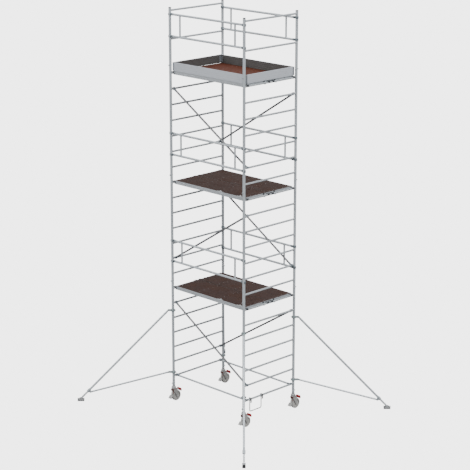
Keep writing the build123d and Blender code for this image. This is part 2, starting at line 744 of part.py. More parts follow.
def fork_leg(x):
    """Side plate of the fork, round the axle at its lower end."""
    outline = [
        (-46, ROOF_Z), (64, ROOF_Z), (TRAIL + 16, 2 * WHEEL_R - 20), (TRAIL + 14, WHEEL_R),
        (TRAIL - 14, WHEEL_R), (10, 2 * WHEEL_R - 40), (-36, 2 * WHEEL_R + 4),
    ]
    leg = plate_yz(outline, x, FORK_PLATE)
    boss = rod((x - FORK_PLATE / 2, TRAIL, WHEEL_R), (x + FORK_PLATE / 2, TRAIL, WHEEL_R), 14)
    return fuse(leg, boss)


def castor_fork():
    """Swivel head, roof and two legs in one piece, with the axle bolt and the brake's pin."""
    head = rod((0, 0, HEAD_Z), (0, 0, COLLAR_Z), HEAD_R)
    rim = head.edges().group_by(Axis.Z)[-1]
    head = head.fillet(10.0, rim)
    head = head - rod((0, 0, HEAD_Z), (0, 0, HEAD_Z + 20), KINGPIN_R + 8)
    head = head - rod((0, 0, HEAD_Z), (0, 0, COLLAR_Z), KINGPIN_R + RUNNING)
    outside = FORK_INSIDE + FORK_PLATE
    roof = block(-outside, outside, -46, 64, ROOF_Z, HEAD_Z)
    legs = [fork_leg(side * (FORK_INSIDE + FORK_PLATE / 2)) for side in (-1, 1)]
    fork = fuse(one(head), roof, *legs)
    fork = one(fork - rod((-BIG, TRAIL, WHEEL_R), (BIG, TRAIL, WHEEL_R), AXLE_R))
    pin_z = brake_pin_z()
    pin = rod((-outside - 3, BRAKE_PIN_Y, pin_z), (outside + 3, BRAKE_PIN_Y, pin_z), BRAKE_PIN_R)
    fork = fuse(fork, pin)
    shank = rod((-outside, TRAIL, WHEEL_R), (outside, TRAIL, WHEEL_R), AXLE_R)
    heads = [hexagon(side * outside, side * 7.0, TRAIL, WHEEL_R, 11.0) for side in (-1, 1)]
    return [fork, fuse(shank, *heads)]


def hexagon(x, length, y, z, radius):
    """Bolt head or nut along X, from x to x + length."""
    angles = [k * math.pi / 3 for k in range(6)]
    points = [(y + radius * math.cos(a), z + radius * math.sin(a)) for a in angles]
    return plate_yz(points, x + length / 2, abs(length))


def castor_tyre():
    """Tread ring with rounded shoulders."""
    x0, x1 = -WHEEL_WIDTH / 2, WHEEL_WIDTH / 2
    tyre = rod((x0, TRAIL, WHEEL_R), (x1, TRAIL, WHEEL_R), WHEEL_R)
    tyre = tyre.fillet(TREAD * 0.45, tyre.edges().filter_by(GeomType.CIRCLE))
    return one(tyre - rod((x0, TRAIL, WHEEL_R), (x1, TRAIL, WHEEL_R), WHEEL_R - TREAD))


def castor_wheel():
    """Core with a rim, a web, ribs and a hub on the axle."""
    rim_r = WHEEL_R - TREAD
    rim = ring((0, TRAIL, WHEEL_R), (1, 0, 0), rim_r - 10, rim_r, WHEEL_WIDTH - 4)
    web = rod((-6, TRAIL, WHEEL_R), (6, TRAIL, WHEEL_R), rim_r - 5)
    hub_half = FORK_INSIDE - 1.0
    hub = rod((-hub_half, TRAIL, WHEEL_R), (hub_half, TRAIL, WHEEL_R), 21)
    ribs = []
    for k in range(3):
        rib = block(-15, 15, TRAIL - 2.5, TRAIL + 2.5, WHEEL_R - rim_r + 5, WHEEL_R + rim_r - 5)
        ribs.append(rib.rotate(Axis((0, TRAIL, WHEEL_R), (1, 0, 0)), 30 + 60 * k))
    core = fuse(one(rim), web, hub, *ribs)
    bore = rod((-BIG, TRAIL, WHEEL_R), (BIG, TRAIL, WHEEL_R), AXLE_R + RUNNING)
    return one(core - bore)


def brake_pin_z():
    """Height of the brake rocker's pin."""
    return 2 * WHEEL_R + 24.0


def brake_shoe():
    """Block of the rocker that presses on the tread."""
    near, far = WHEEL_R - 6, WHEEL_R + 32
    angles = [math.radians(a) for a in SHOE_ANGLES]
    corners = [(near, angles[0]), (far, angles[0]), (far, angles[1]), (near, angles[1])]
    outline = [(TRAIL + r * math.cos(a), WHEEL_R + r * math.sin(a)) for r, a in corners]
    shoe = plate_yz(outline, 0, 2 * BRAKE_HALF_WIDTH)
    reach = BRAKE_HALF_WIDTH + 5
    tread = rod((-reach, TRAIL, WHEEL_R), (reach, TRAIL, WHEEL_R), WHEEL_R + SHOE_GAP)
    return one(shoe - tread)


def brake_rocker():
    """Rocker over the wheel: brake pedal on the -Y side, release pad on the +Y side."""
    top = 2 * WHEEL_R
    arm = [
        (134, top + 12), (92, top + 26), (BRAKE_PIN_Y, top + 29), (-38, top + 12), (-56, WHEEL_R + 58),
        (-64, WHEEL_R + 18), (-56, WHEEL_R + 16), (-47, WHEEL_R + 57), (-30, top + 4),
        (BRAKE_PIN_Y, top + 19), (88, top + 18), (128, top + 4),
    ]
    width = 2 * BRAKE_HALF_WIDTH
    body = plate_yz(arm, 0, width)
    side, pin_z = BRAKE_HALF_WIDTH, brake_pin_z()
    boss = rod((-side, BRAKE_PIN_Y, pin_z), (side, BRAKE_PIN_Y, pin_z), 10)
    release_outline = [
        (114, top + 30), (120, top + 4), (132, WHEEL_R + 90), (146, WHEEL_R + 72), (160, WHEEL_R + 69),
        (170, WHEEL_R + 78), (168, top + 10), (150, top + 30), (128, top + 37),
    ]
    release = plate_yz(release_outline, 0, 2 * PEDAL_HALF_WIDTH)
    pedal = plate_yz([(-54, WHEEL_R + 26), (-66, WHEEL_R + 28), (-106, WHEEL_R - 20), (-102, WHEEL_R - 28),
                      (-92, WHEEL_R - 26)], 0, 2 * PEDAL_HALF_WIDTH)
    rocker = fuse(body, boss, release, pedal, brake_shoe())
    pin = rod((-BIG, BRAKE_PIN_Y, pin_z), (BIG, BRAKE_PIN_Y, pin_z), BRAKE_PIN_R + RUNNING)
    return one(rocker - pin)


# Outriggers, made along +X from an upright on the Z axis --------------------------------------

POLE_TOP = Vector(PIVOT_REACH, 0, rung_z(6) - POLE_BELOW_RUNG - 17)
STRUT_TOP = Vector(PIVOT_REACH, 0, rung_z(1) + STRUT_ABOVE_RUNG)
FOOT_PIVOT = Vector(OUTRIGGER_REACH, 0, FOOT_PIVOT_Z)
POLE_ALONG = (FOOT_PIVOT - POLE_TOP).normalized()
POLE_END = FOOT_PIVOT - POLE_ALONG * INNER_SHOWN
POLE_SQUARE = Vector(POLE_ALONG.Z, 0, -POLE_ALONG.X)
STRUT_END = POLE_END - POLE_ALONG * (SLEEVE_LENGTH / 2) + POLE_SQUARE * STRUT_OFFSET


def stadium(start, end, radius, thickness, y=0.0):
    """Plate with round ends between two points in the XZ plane."""
    side = Vector(0, thickness / 2, 0)
    shift = Vector(0, y, 0)
    start, end = start + shift, end + shift
    along = (end - start).normalized()
    square = Vector(along.Z, 0, -along.X) * radius
    points = [start + square, end + square, end - square, start - square]
    bar = prism([tuple(p) for p in points], (0, 0, 0), (0, thickness, 0))
    return fuse(bar, rod(start - side, start + side, radius), rod(end - side, end + side, radius))


def ears(start, end):
    """Pair of plates that hold a tongue between them."""
    offset = TONGUE / 2 + EAR / 2
    return [stadium(start, end, EAR_R, EAR, sign * offset) for sign in (-1, 1)]


def pivot_pin(point):
    """Headed pin across a pair of ears."""
    half = TONGUE / 2 + EAR
    pin = rod(point - Vector(0, half, 0), point + Vector(0, half, 0), PIVOT_PIN_R)
    heads = [rod(point + Vector(0, s * half, 0), point + Vector(0, s * (half + 5), 0), 10) for s in (-1, 1)]
    return fuse(pin, *heads)


def drilled(solid, point, radius):
    """Cut a bore along Y through a piece."""
    return one(solid - rod(point - Vector(0, 60, 0), point + Vector(0, 60, 0), radius))


def upright_coupler(pivot):
    """Clamp ring round the upright with a pair of ears for a tube's end."""
    inner = UPRIGHT_R + COUPLER_SLIP
    centre = Vector(0, 0, pivot.Z)
    clamp = ring(centre, (0, 0, 1), inner, inner + COUPLER_WALL, COUPLER_HEIGHT)
    lug_side = TONGUE / 2 + EAR
    lug = block(UPRIGHT_R, UPRIGHT_R + 22, -lug_side, lug_side, pivot.Z - EAR_R, pivot.Z + EAR_R)
    bolt = block(-UPRIGHT_R - 22, -UPRIGHT_R, -12, 12, pivot.Z - 13, pivot.Z + 13)
    nut = rod(Vector(-UPRIGHT_R - 14, -22, pivot.Z), Vector(-UPRIGHT_R - 14, 22, pivot.Z), 8)
    flange = block(-12, 12, -COUPLER_FLANGE, COUPLER_FLANGE, pivot.Z - 13, pivot.Z + 13)
    whole = fuse(one(clamp), lug, bolt, nut, flange, *ears(Vector(UPRIGHT_R + 18, 0, pivot.Z), pivot))
    whole = one(whole - rod((0, 0, pivot.Z - 60), (0, 0, pivot.Z + 60), inner))
    return drilled(whole, pivot, PIVOT_PIN_R)


def tongue_tube(start, end, radius, wall, both_ends):
    """Tube between two pivots, with a flat tongue pinned at one or both ends."""
    along = (end - start).normalized()
    tube_start = start + along * TONGUE_LENGTH
    tube_end = end - along * TONGUE_LENGTH if both_ends else end
    body = one(tube(tube_start, tube_end, radius, wall))
    plug = rod(tube_start, tube_start + along * 6, radius)
    whole = fuse(body, plug, stadium(start, tube_start + along * 3, EAR_R - 3, TONGUE))
    whole = drilled(whole, start, PIVOT_PIN_R)
    if both_ends:
        plug = rod(tube_end - along * 6, tube_end, radius)
        whole = fuse(whole, plug, stadium(end, tube_end - along * 3, EAR_R - 3, TONGUE))
        whole = drilled(whole, end, PIVOT_PIN_R)
    return whole


def outrigger_arm():
    """Pole, strut, the two couplers on the upright, the sleeve that joins pole and strut, and pins."""
    pole = tongue_tube(POLE_TOP, POLE_END, POLE_R, POLE_WALL, False)
    strut = tongue_tube(STRUT_TOP, STRUT_END, STRUT_R, STRUT_WALL, True)
    sleeve_start = POLE_END - POLE_ALONG * SLEEVE_LENGTH
    sleeve = tube(sleeve_start, POLE_END, POLE_R + SLEEVE_WALL, SLEEVE_WALL)
    root = STRUT_END - POLE_SQUARE * (STRUT_OFFSET - POLE_R - 2)
    sleeve = fuse(one(sleeve), *ears(root, STRUT_END))
    sleeve = one(sleeve - rod(sleeve_start - POLE_ALONG * 60, POLE_END + POLE_ALONG * 60, POLE_R))
    sleeve = drilled(sleeve, STRUT_END, PIVOT_PIN_R)
    pins = [pivot_pin(p) for p in (POLE_TOP, STRUT_TOP, STRUT_END)]
    return [pole, strut, upright_coupler(POLE_TOP), upright_coupler(STRUT_TOP), sleeve] + pins


def outrigger_inner_tube():
    """Telescopic tube, with an eye round the foot's pin."""
    start = FOOT_PIVOT
    end = POLE_END - POLE_ALONG * INNER_HIDDEN
    along = (end - start).normalized()
    tube_start = start + along * TONGUE_LENGTH
    body = one(tube(tube_start, end, INNER_R, INNER_WALL))
    plug = rod(tube_start, tube_start + along * 6, INNER_R)
    whole = fuse(body, plug, stadium(start, tube_start + along * 3, EAR_R - 4, TONGUE))
    return drilled(whole, start, PIVOT_PIN_R + RUNNING)


def foot_rubber():
    """Sole with a bumper at each end, along X through the foot pivot."""
    x, half, side = FOOT_PIVOT.X, FOOT_LENGTH / 2, FOOT_WIDTH / 2
    rubber = block(x - half, x + half, -side, side, 0, FOOT_BUMPER_TOP)
    rubber = rubber.fillet(6.0, rubber.edges().filter_by(Axis.Z))
    inside = half - FOOT_BUMPER
    return one(rubber - block(x - inside, x + inside, -side, side, FOOT_RUBBER, FOOT_BUMPER_TOP))


def foot_channel():
    """Channel in the rubber, with bushes that hold the eye of the inner tube on a pin."""
    x, z = FOOT_PIVOT.X, FOOT_PIVOT.Z
    reach = FOOT_LENGTH / 2 - FOOT_BUMPER
    side = FOOT_CHANNEL_WIDTH / 2
    channel = block(x - reach, x + reach, -side, side, FOOT_RUBBER, FOOT_RUBBER + FOOT_PLATE)
    outline = [
        (x - reach, FOOT_RUBBER), (x + reach, FOOT_RUBBER), (x + reach, z - 10),
        (x + 18, z + 14), (x - 18, z + 14), (x - reach, z - 10),
    ]
    gap = TONGUE / 2 + 1.0
    for sign in (-1, 1):
        wall = plate_xz(outline, sign * (side - FOOT_PLATE / 2), FOOT_PLATE)
        bush = rod((x, sign * gap, z), (x, sign * side, z), PIVOT_PIN_R + 5)
        channel = channel.fuse(wall, bush)
    pin = rod((x, -side - 5, z), (x, side + 5, z), PIVOT_PIN_R)
    return fuse(one(channel), pin)


def outrigger_foot():
    """Rubber shoe and the channel in it."""
    return [foot_rubber(), foot_channel()]


# Output --------------------------------------------------------------------------------------

def frame_nodes():
    """The ladder frames and what joins them."""
    nodes = {}
    for name, side in SIDES.items():
        for storey, prefix in enumerate(("base", "middle", "upper")):
            nodes["%s_frame_%s" % (prefix, name)] = full_frame(side * HALF_X, storey)
        nodes["top_frame_%s" % name] = top_frame(side * HALF_X)
    nodes["frame_spigots"] = frame_spigots()
    nodes["locking_clips"] = locking_clips()
    nodes["upright_caps"] = upright_caps()
    nodes["castor_stems"] = [at_corner(castor_stem(), corner) for corner in CORNERS]
    return nodes


def bay_nodes():
    """Guardrails, braces, decks, toe boards, hatches and the entry step."""
    nodes = {}
    lid = hatch_leaf()
    for level, prefix in enumerate(("lower", "middle", "upper")):
        nodes["%s_guardrails" % prefix] = guardrails(level)
        nodes["%s_hatch" % prefix] = [lid.moved(Location((0, 0, DECK_RUNGS[level])))]
        nodes["%s_diagonals" % prefix] = diagonal_braces(level)
    nodes["guardrail_claws"] = guardrail_claws()
    nodes["horizontal_braces"] = horizontal_braces()
    nodes["brace_claws"] = brace_claws()
    nodes["deck_frames"] = on_levels(deck_frame(-1) + deck_frame(1))
    nodes["deck_panels"] = on_levels(deck_panel(-1) + deck_panel(1))
    nodes["deck_hooks"] = on_levels(deck_hook_set())
    nodes["wind_locks"] = on_levels(wind_lock_set())
    nodes["hatch_hinges"] = on_levels([hatch_hinge(x) for x in hinge_centres()])
    nodes["toe_boards"] = toe_boards()
    nodes["toe_board_clips"] = toe_board_clips()
    nodes["entry_step"] = entry_step()
    return nodes


def corner_nodes():
    """Castor and outrigger of each corner."""
    castor = {
        "fork": castor_fork(),
        "wheel": [castor_wheel()],
        "tyre": [castor_tyre()],
        "brake": [brake_rocker()],
    }
    outrigger = {"arm": outrigger_arm(), "inner_tube": [outrigger_inner_tube()], "foot": outrigger_foot()}
    nodes = {}
    for index, corner in enumerate(CORNERS):
        for name, solids in castor.items():
            nodes["castor_%s_%s" % (name, corner)] = [at_corner(s, corner) for s in solids]
        turn = (225, -45, 45, 135)[index]
        for name, solids in outrigger.items():
            nodes["outrigger_%s_%s" % (name, corner)] = [at_corner(s, corner, turn) for s in solids]
    return nodes


def main():
    """Write one STEP file per node."""
    os.makedirs("parts", exist_ok=True)
    nodes = {**frame_nodes(), **bay_nodes(), **corner_nodes()}
    for name, solids in nodes.items():
        shape = solids[0] if len(solids) == 1 else Compound(solids)
        export_step(shape, "parts/%s.step" % name)
    print("%d nodes, %d solids" % (len(nodes), sum(len(s) for s in nodes.values())))


main()
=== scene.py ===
"""Looks of a mobile tower scaffold: finishes for every node, and the small pieces that a maker adds
with rivets, bolts, weld beads, treads and wing nuts.  Metres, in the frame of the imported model."""
import json
import math

import bmesh
import bpy
from mathutils import Euler, Matrix, Vector

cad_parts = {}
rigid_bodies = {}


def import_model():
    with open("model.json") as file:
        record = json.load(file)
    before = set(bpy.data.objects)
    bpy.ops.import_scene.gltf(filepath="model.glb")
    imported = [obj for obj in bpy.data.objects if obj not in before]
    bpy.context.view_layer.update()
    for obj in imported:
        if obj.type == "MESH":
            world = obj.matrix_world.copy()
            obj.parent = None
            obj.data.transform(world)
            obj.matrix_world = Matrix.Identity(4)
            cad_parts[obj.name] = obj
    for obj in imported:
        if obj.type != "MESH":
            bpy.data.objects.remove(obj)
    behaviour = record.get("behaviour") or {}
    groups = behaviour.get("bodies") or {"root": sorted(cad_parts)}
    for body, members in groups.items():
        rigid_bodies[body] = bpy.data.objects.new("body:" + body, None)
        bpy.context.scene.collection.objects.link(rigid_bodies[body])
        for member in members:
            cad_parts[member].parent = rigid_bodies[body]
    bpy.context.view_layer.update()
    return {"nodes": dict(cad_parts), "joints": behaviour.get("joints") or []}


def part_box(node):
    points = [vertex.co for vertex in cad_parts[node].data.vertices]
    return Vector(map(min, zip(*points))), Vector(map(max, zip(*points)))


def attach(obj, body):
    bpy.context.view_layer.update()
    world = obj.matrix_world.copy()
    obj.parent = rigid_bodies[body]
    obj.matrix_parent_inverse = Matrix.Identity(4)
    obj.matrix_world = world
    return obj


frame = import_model()
NODES = frame["nodes"]

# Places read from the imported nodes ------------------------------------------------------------

BASE_LOW, BASE_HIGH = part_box("base_frame_right")
TUBE_R = (BASE_HIGH.x - BASE_LOW.x) / 2
END_X = (BASE_HIGH.x + BASE_LOW.x) / 2
SIDE_Y = BASE_HIGH.y - TUBE_R
FRAME_RUNGS = 7
PITCH = (BASE_HIGH.z - BASE_LOW.z) / FRAME_RUNGS
FIRST_RUNG = BASE_LOW.z + 0.170
RUNG_R = 0.018
RUNG_COUNT = 3 * FRAME_RUNGS
TOP_FRAME_RUNGS = (0.495, 1.0)
TOP_FRAME_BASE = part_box("top_frame_right")[0].z
DECK_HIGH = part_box("deck_frames")[1]
DECK_RUNGS = [FIRST_RUNG + PITCH * (FRAME_RUNGS * level + 6) for level in range(3)]
DECK_TOP = DECK_HIGH.z - DECK_RUNGS[2]
LEVELS = ("lower", "middle", "upper")
CORNERS = {
    "front_left": (-END_X, -SIDE_Y),
    "front_right": (END_X, -SIDE_Y),
    "back_right": (END_X, SIDE_Y),
    "back_left": (-END_X, SIDE_Y),
}
HEADINGS = {"front_left": 225, "front_right": -45, "back_right": 45, "back_left": 135}
JOINTS = {joint["name"]: joint for joint in frame["joints"]}
PAPER_GLOW = 4.2  # brightness of the room and its floor


def joint_place(name):
    """Where a hinge stands at rest."""
    return Vector(JOINTS[name]["pos_m"])


# Camera, light and floor ----------------------------------------------------------------------

def aim(thing, target):
    """Turn a camera or a lamp to look at a point."""
    thing.rotation_euler = (Vector(target) - thing.location).to_track_quat("-Z", "Y").to_euler()


def add_camera():
    """Long lens, a little above the middle of the tower."""
    data = bpy.data.cameras.new("camera")
    data.sensor_width = 36.0
    data.lens = 127.23
    data.clip_end = 300.0
    camera = bpy.data.objects.new("camera", data)
    bpy.context.scene.collection.objects.link(camera)
    camera.location = (20.514, -20.395, 11.483)
    aim(camera, (0.0254, 0.0254, 3.286))
    bpy.context.scene.camera = camera


def add_lamp(name, place, target, size, power):
    """Soft square lamp."""
    data = bpy.data.lights.new(name, "AREA")
    data.shape = "SQUARE"
    data.size = size
    data.energy = power
    lamp = bpy.data.objects.new(name, data)
    bpy.context.scene.collection.objects.link(lamp)
    lamp.location = place
    aim(lamp, target)


def add_studio():
    """Pale room, two soft lamps and a pale floor."""
    world = bpy.data.worlds.new("room")
    bpy.context.scene.world = world
    world.use_nodes = True
    tree = world.node_tree
    soft = tree.nodes["Background"]
    soft.inputs["Color"].default_value = (0.97, 0.985, 1.0, 1.0)
    split = tree.nodes.new("ShaderNodeSeparateXYZ")
    height = tree.nodes.new("ShaderNodeMapRange")
    for name, value in (("From Min", -0.05), ("From Max", 0.90), ("To Min", 0.30), ("To Max", 1.65)):
        height.inputs[name].default_value = value
    tree.links.new(tree.nodes.new("ShaderNodeTexCoord").outputs["Generated"], split.inputs[0])
    tree.links.new(split.outputs["Z"], height.inputs["Value"])
    tree.links.new(height.outputs["Result"], soft.inputs["Strength"])
    glow = tree.nodes.new("ShaderNodeBackground")
    glow.inputs["Strength"].default_value = PAPER_GLOW
    lit_for_camera(tree, soft.outputs[0], glow.outputs[0], tree.nodes["World Output"].inputs["Surface"])
    add_lamp("key", (16, -3, 17), (0, 0, 3), 8.0, 2600)
    add_lamp("fill", (-6, -18, 12), (0, 0, 3), 9.0, 1500)
    mesh = bpy.data.meshes.new("floor")
    side = 120.0
    corners = [(-side, -side, 0), (side, -side, 0), (side, side, 0), (-side, side, 0)]
    mesh.from_pydata(corners, [], [(0, 1, 2, 3)])
    floor = bpy.data.objects.new("floor", mesh)
    bpy.context.scene.collection.objects.link(floor)
    floor.data.materials.append(floor_paper())


# Shader maths ---------------------------------------------------------------------------------

class Value:
    """A shader socket that takes part in Python expressions."""

    def __init__(self, finish, socket):
        self.finish = finish
        self.socket = socket

    def apply(self, operation, *others):
        """Math node with this value first."""
        sockets = {index: other for index, other in enumerate((self, *others))}
        return self.finish.add("Math", {"operation": operation}, sockets)

    def swapped(self, operation, other):
        """Math node with this value second."""
        return self.finish.add("Math", {"operation": operation}, {0: other, 1: self})

    def __add__(self, other):
        return self.apply("ADD", other)

    def __sub__(self, other):
        return self.apply("SUBTRACT", other)

    def __mul__(self, other):
        return self.apply("MULTIPLY", other)

    def __truediv__(self, other):
        return self.apply("DIVIDE", other)

    def __pow__(self, other):
        return self.apply("POWER", other)

    def __abs__(self):
        return self.apply("ABSOLUTE")

    def __radd__(self, other):
        return self.swapped("ADD", other)

    def __rsub__(self, other):
        return self.swapped("SUBTRACT", other)

    def __rmul__(self, other):
        return self.swapped("MULTIPLY", other)

    def __rtruediv__(self, other):
        return self.swapped("DIVIDE", other)


class Finish:
    """One material under construction."""

    def __init__(self, name):
        self.material = bpy.data.materials.new(name)
        self.material.use_nodes = True
        self.tree = self.material.node_tree
        self.shader = self.tree.nodes["Principled BSDF"]
        self.place = self.add("TexCoord", out=3)

    def add(self, kind, settings=None, sockets=None, out=0):
        """Any node: its settings first, then what its sockets hold."""
        node = self.tree.nodes.new("ShaderNode" + kind)
        for key, value in (settings or {}).items():
            if key == "stops":
                self.set_stops(node.color_ramp, value)
            else:
                setattr(node, key, value)
        for key, value in (sockets or {}).items():
            self.feed(node.inputs[key], value)
        if isinstance(out, tuple):
            return [Value(self, node.outputs[index]) for index in out]
        return Value(self, node.outputs[out])

    def feed(self, socket, value):
        """Link a value, or set a constant."""
        if isinstance(value, Value):
            self.tree.links.new(value.socket, socket)
        else:
            socket.default_value = value

    def set_stops(self, ramp, stops):
        """Colour ramp from a list of (place, colour)."""
        while len(ramp.elements) < len(stops):
            ramp.elements.new(0.5)
        for element, (place, colour) in zip(ramp.elements, stops):
            element.position = place
            element.color = colour

    def shifted(self, centre, turn=(0, 0, 0), scale=(1, 1, 1)):
        """Object coordinates seen from a frame with its own centre, turn and unit lengths."""
        sockets = {"Vector": self.place, "Location": centre, "Rotation": turn, "Scale": scale}
        return self.add("Mapping", {"vector_type": "TEXTURE"}, sockets)

    def axes(self, vector=None):
        """X, Y and Z of a vector."""
        return self.add("SeparateXYZ", None, {0: vector or self.place}, out=(0, 1, 2))

    def noise(self, scale, detail=3.0, rough=0.5, vector=None):
        """Soft noise between 0 and 1."""
        sockets = {"Vector": vector or self.place, "Scale": scale, "Detail": detail, "Roughness": rough}
        return self.add("TexNoise", None, sockets)

    def streaks(self, turn, long, fine, detail=2.0):
        """Noise drawn out along one direction."""
        return self.noise(1.0, detail, 0.6, self.shifted((0, 0, 0), turn, (long, fine, fine)))

    def rise(self, value, low, high):
        """Smooth step from 0 at low to 1 at high."""
        sockets = {"Value": value, "From Min": low, "From Max": high}
        return self.add("MapRange", {"interpolation_type": "SMOOTHSTEP"}, sockets)

    def span(self, value, low, high):
        """Straight change from low at 0 to high at 1."""
        return self.add("MapRange", None, {"Value": value, "To Min": low, "To Max": high})

    def blend(self, first, second, mask):
        """Colour from first where mask is 0 to second where it is 1."""
        return self.add("Mix", {"data_type": "RGBA"}, {0: mask, 6: first, 7: second}, out=2)

    def done(self, colour, roughness, metallic=0.0, height=None, depth=0.001, **constants):
        """Feed the shader and give the material."""
        self.feed(self.shader.inputs["Base Color"], colour)
        self.feed(self.shader.inputs["Roughness"], roughness)
        self.feed(self.shader.inputs["Metallic"], metallic)
        if height is not None:
            bump = self.add("Bump", None, {"Height": height, "Distance": depth, "Strength": 1.0})
            self.feed(self.shader.inputs["Normal"], bump)
        for key, value in constants.items():
            self.shader.inputs[key.replace("_", " ")].default_value = value
        return self.material


def shade(red, green, blue):
    """Opaque colour."""
    return (red, green, blue, 1.0)


def lit_for_camera(tree, dim, bright, end):
    """Shader that the camera sees bright, and that lights the object softly."""
    path = tree.nodes.new("ShaderNodeLightPath")
    mix = tree.nodes.new("ShaderNodeMixShader")
    tree.links.new(path.outputs["Is Camera Ray"], mix.inputs["Fac"])
    tree.links.new(dim, mix.inputs[1])
    tree.links.new(bright, mix.inputs[2])
    tree.links.new(mix.outputs["Shader"], end)


def floor_paper():
    """Bright studio paper with a hardly visible grain."""
    finish = Finish("floor_paper")
    grain = finish.noise(3.0, 4.0)
    finish.done(finish.blend(shade(0.20, 0.20, 0.20), shade(0.24, 0.24, 0.24), grain), 0.9)
    glow = finish.tree.nodes.new("ShaderNodeEmission")
    glow.inputs["Strength"].default_value = PAPER_GLOW
    end = finish.tree.nodes["Material Output"].inputs["Surface"]
    lit_for_camera(finish.tree, finish.shader.outputs["BSDF"], glow.outputs["Emission"], end)
    return finish.material


# Finishes -------------------------------------------------------------------------------------

ALONG_X = (0.0, 0.0, 0.0)
ALONG_Y = (0.0, 0.0, math.pi / 2)
ALONG_Z = (0.0, -math.pi / 2, 0.0)
PALE = shade(0.55, 0.59, 0.62)
DULL = shade(0.37, 0.40, 0.425)
BRIGHT = shade(0.68, 0.71, 0.74)
GRIME = shade(0.13, 0.12, 0.11)


def worn_metal(finish, turn, pale=PALE, dull=DULL):
    """Colour, roughness and height that drawn aluminium has in common."""
    lines = finish.streaks(turn, 0.55, 0.0022)
    cloud = finish.noise(2.3, 4.0, 0.6)
    smudge = finish.rise(finish.noise(9.0, 5.0, 0.65), 0.56, 0.74)
    scratch = finish.rise(finish.streaks(turn, 0.05, 0.0009, 1.0), 0.69, 0.75)
    colour = finish.blend(dull, pale, finish.span(lines * 0.45 + cloud * 0.55, 0.62, 1.05))
    colour = finish.blend(colour, GRIME, smudge * 0.16)
    colour = finish.blend(colour, BRIGHT, scratch * 0.5)
    rough = 0.30 + lines * 0.10 + smudge * 0.16
    height = lines * 0.6 - scratch * 0.4
    return colour, rough, height


def drawn_tube(name, turn, pale=PALE, dull=DULL):
    """Round drawn tube."""
    finish = Finish(name)
    colour, rough, height = worn_metal(finish, turn, pale, dull)
    return finish.done(colour, rough, 0.45, height, 0.0004)


def ladder_tube():
    """Uprights drawn along Z, and rungs with fine grips along Y."""
    finish = Finish("ladder_tube")
    x, y, z = finish.axes()
    on_rung = 1.0 - finish.rise(abs(y), SIDE_Y - TUBE_R - 0.001, SIDE_Y - TUBE_R + 0.001)
    rung_z = (z - (FIRST_RUNG - PITCH / 2)).apply("FLOORED_MODULO", PITCH) - PITCH / 2
    grips = (rung_z.apply("ARCTAN2", abs(x) - END_X) * 22.0).apply("SINE")
    grips = finish.rise(grips, -0.2, 0.7)
    colour, rough, height = worn_metal(finish, ALONG_Z)
    stretched = finish.shifted((0, 0, 0), ALONG_Y, (0.8, 0.3, 0.3))
    tread = finish.rise(finish.noise(4.0, 3.0, 0.5, stretched), 0.42, 0.62)
    top = finish.rise(rung_z, 0.002, 0.015)
    worn = tread * top * on_rung
    colour = finish.blend(colour, GRIME, on_rung * (1.0 - grips) * 0.22)
    colour = finish.blend(colour, BRIGHT, worn * grips * 0.55)
    weld = finish.rise(abs(y), SIDE_Y - TUBE_R - 0.030, SIDE_Y - TUBE_R - 0.006)
    heat = weld * on_rung * finish.noise(60.0, 3.0)
    colour = finish.blend(colour, shade(0.30, 0.27, 0.23), heat * 0.5)
    height = height * (1.0 - on_rung) * 0.3 + grips * on_rung
    return finish.done(colour, rough + heat * 0.2, 0.45, height, 0.0011)


def outrigger_tube(corner):
    """Pole, strut and couplers of one outrigger, with the pole's grain along its slope."""
    finish = Finish("outrigger_tube_" + corner)
    turn = (0.0, math.radians(46.6), math.radians(HEADINGS[corner]))
    colour, rough, height = worn_metal(finish, turn)
    x, y = CORNERS[corner]
    local = finish.shifted((x, y, 0), (0, 0, math.radians(HEADINGS[corner])))
    reach = finish.axes(local)[0]
    coupler = 1.0 - finish.rise(reach, 0.108, 0.112)
    sleeve = finish.rise(reach, 1.545, 1.550)
    cast = coupler + sleeve
    pits = finish.noise(240.0, 3.0, 0.7)
    cast_colour = finish.blend(shade(0.20, 0.245, 0.25), shade(0.32, 0.38, 0.385), pits)
    colour = finish.blend(colour, cast_colour, coupler * 0.85)
    colour = finish.blend(colour, shade(0.36, 0.40, 0.42), sleeve * 0.7)
    height = height * (1.0 - cast) * 0.5 + pits * cast
    return finish.done(colour, rough + cast * 0.15, 0.40, height, 0.0006)


def telescopic_tube(corner):
    """Inner tube with its row of locking holes, painted near black as the shade inside them."""
    finish = Finish("telescopic_tube_" + corner)
    turn = (0.0, math.radians(46.6), math.radians(HEADINGS[corner]))
    colour, rough, height = worn_metal(finish, turn, shade(0.62, 0.65, 0.68), shade(0.40, 0.42, 0.44))
    foot = joint_place("outrigger_foot_tilt_" + corner)
    along, across, _ = finish.axes(finish.shifted(tuple(foot), turn))
    step = (along + 0.03).apply("FLOORED_MODULO", 0.06) - 0.03
    far = (step * step + across * across).apply("SQRT")
    hole = 1.0 - finish.rise(far, 0.0042, 0.0050)
    # painted shade: each hole is a near-black spot that stands in for the shade inside it
    colour = finish.blend(colour, shade(0.02, 0.02, 0.022), hole)
    return finish.done(colour, rough + hole * 0.3, 0.55, height * 0.4 - hole, 0.0010)


def cast_grey(name, dark, pale):
    """Sand-cast alloy with a dark coat, rubbed pale in places."""
    finish = Finish(name)
    pits = finish.noise(260.0, 4.0, 0.7)
    cloud = finish.noise(14.0, 4.0, 0.6)
    rubbed = finish.rise(finish.noise(38.0, 4.0, 0.65), 0.60, 0.70)
    colour = finish.blend(dark, pale, finish.span(cloud * 0.6 + pits * 0.4, 0.1, 0.9))
    colour = finish.blend(colour, shade(0.46, 0.49, 0.52), rubbed * 0.55)
    return finish.done(colour, 0.5 + pits * 0.15 - rubbed * 0.15, 0.45, pits, 0.0007)


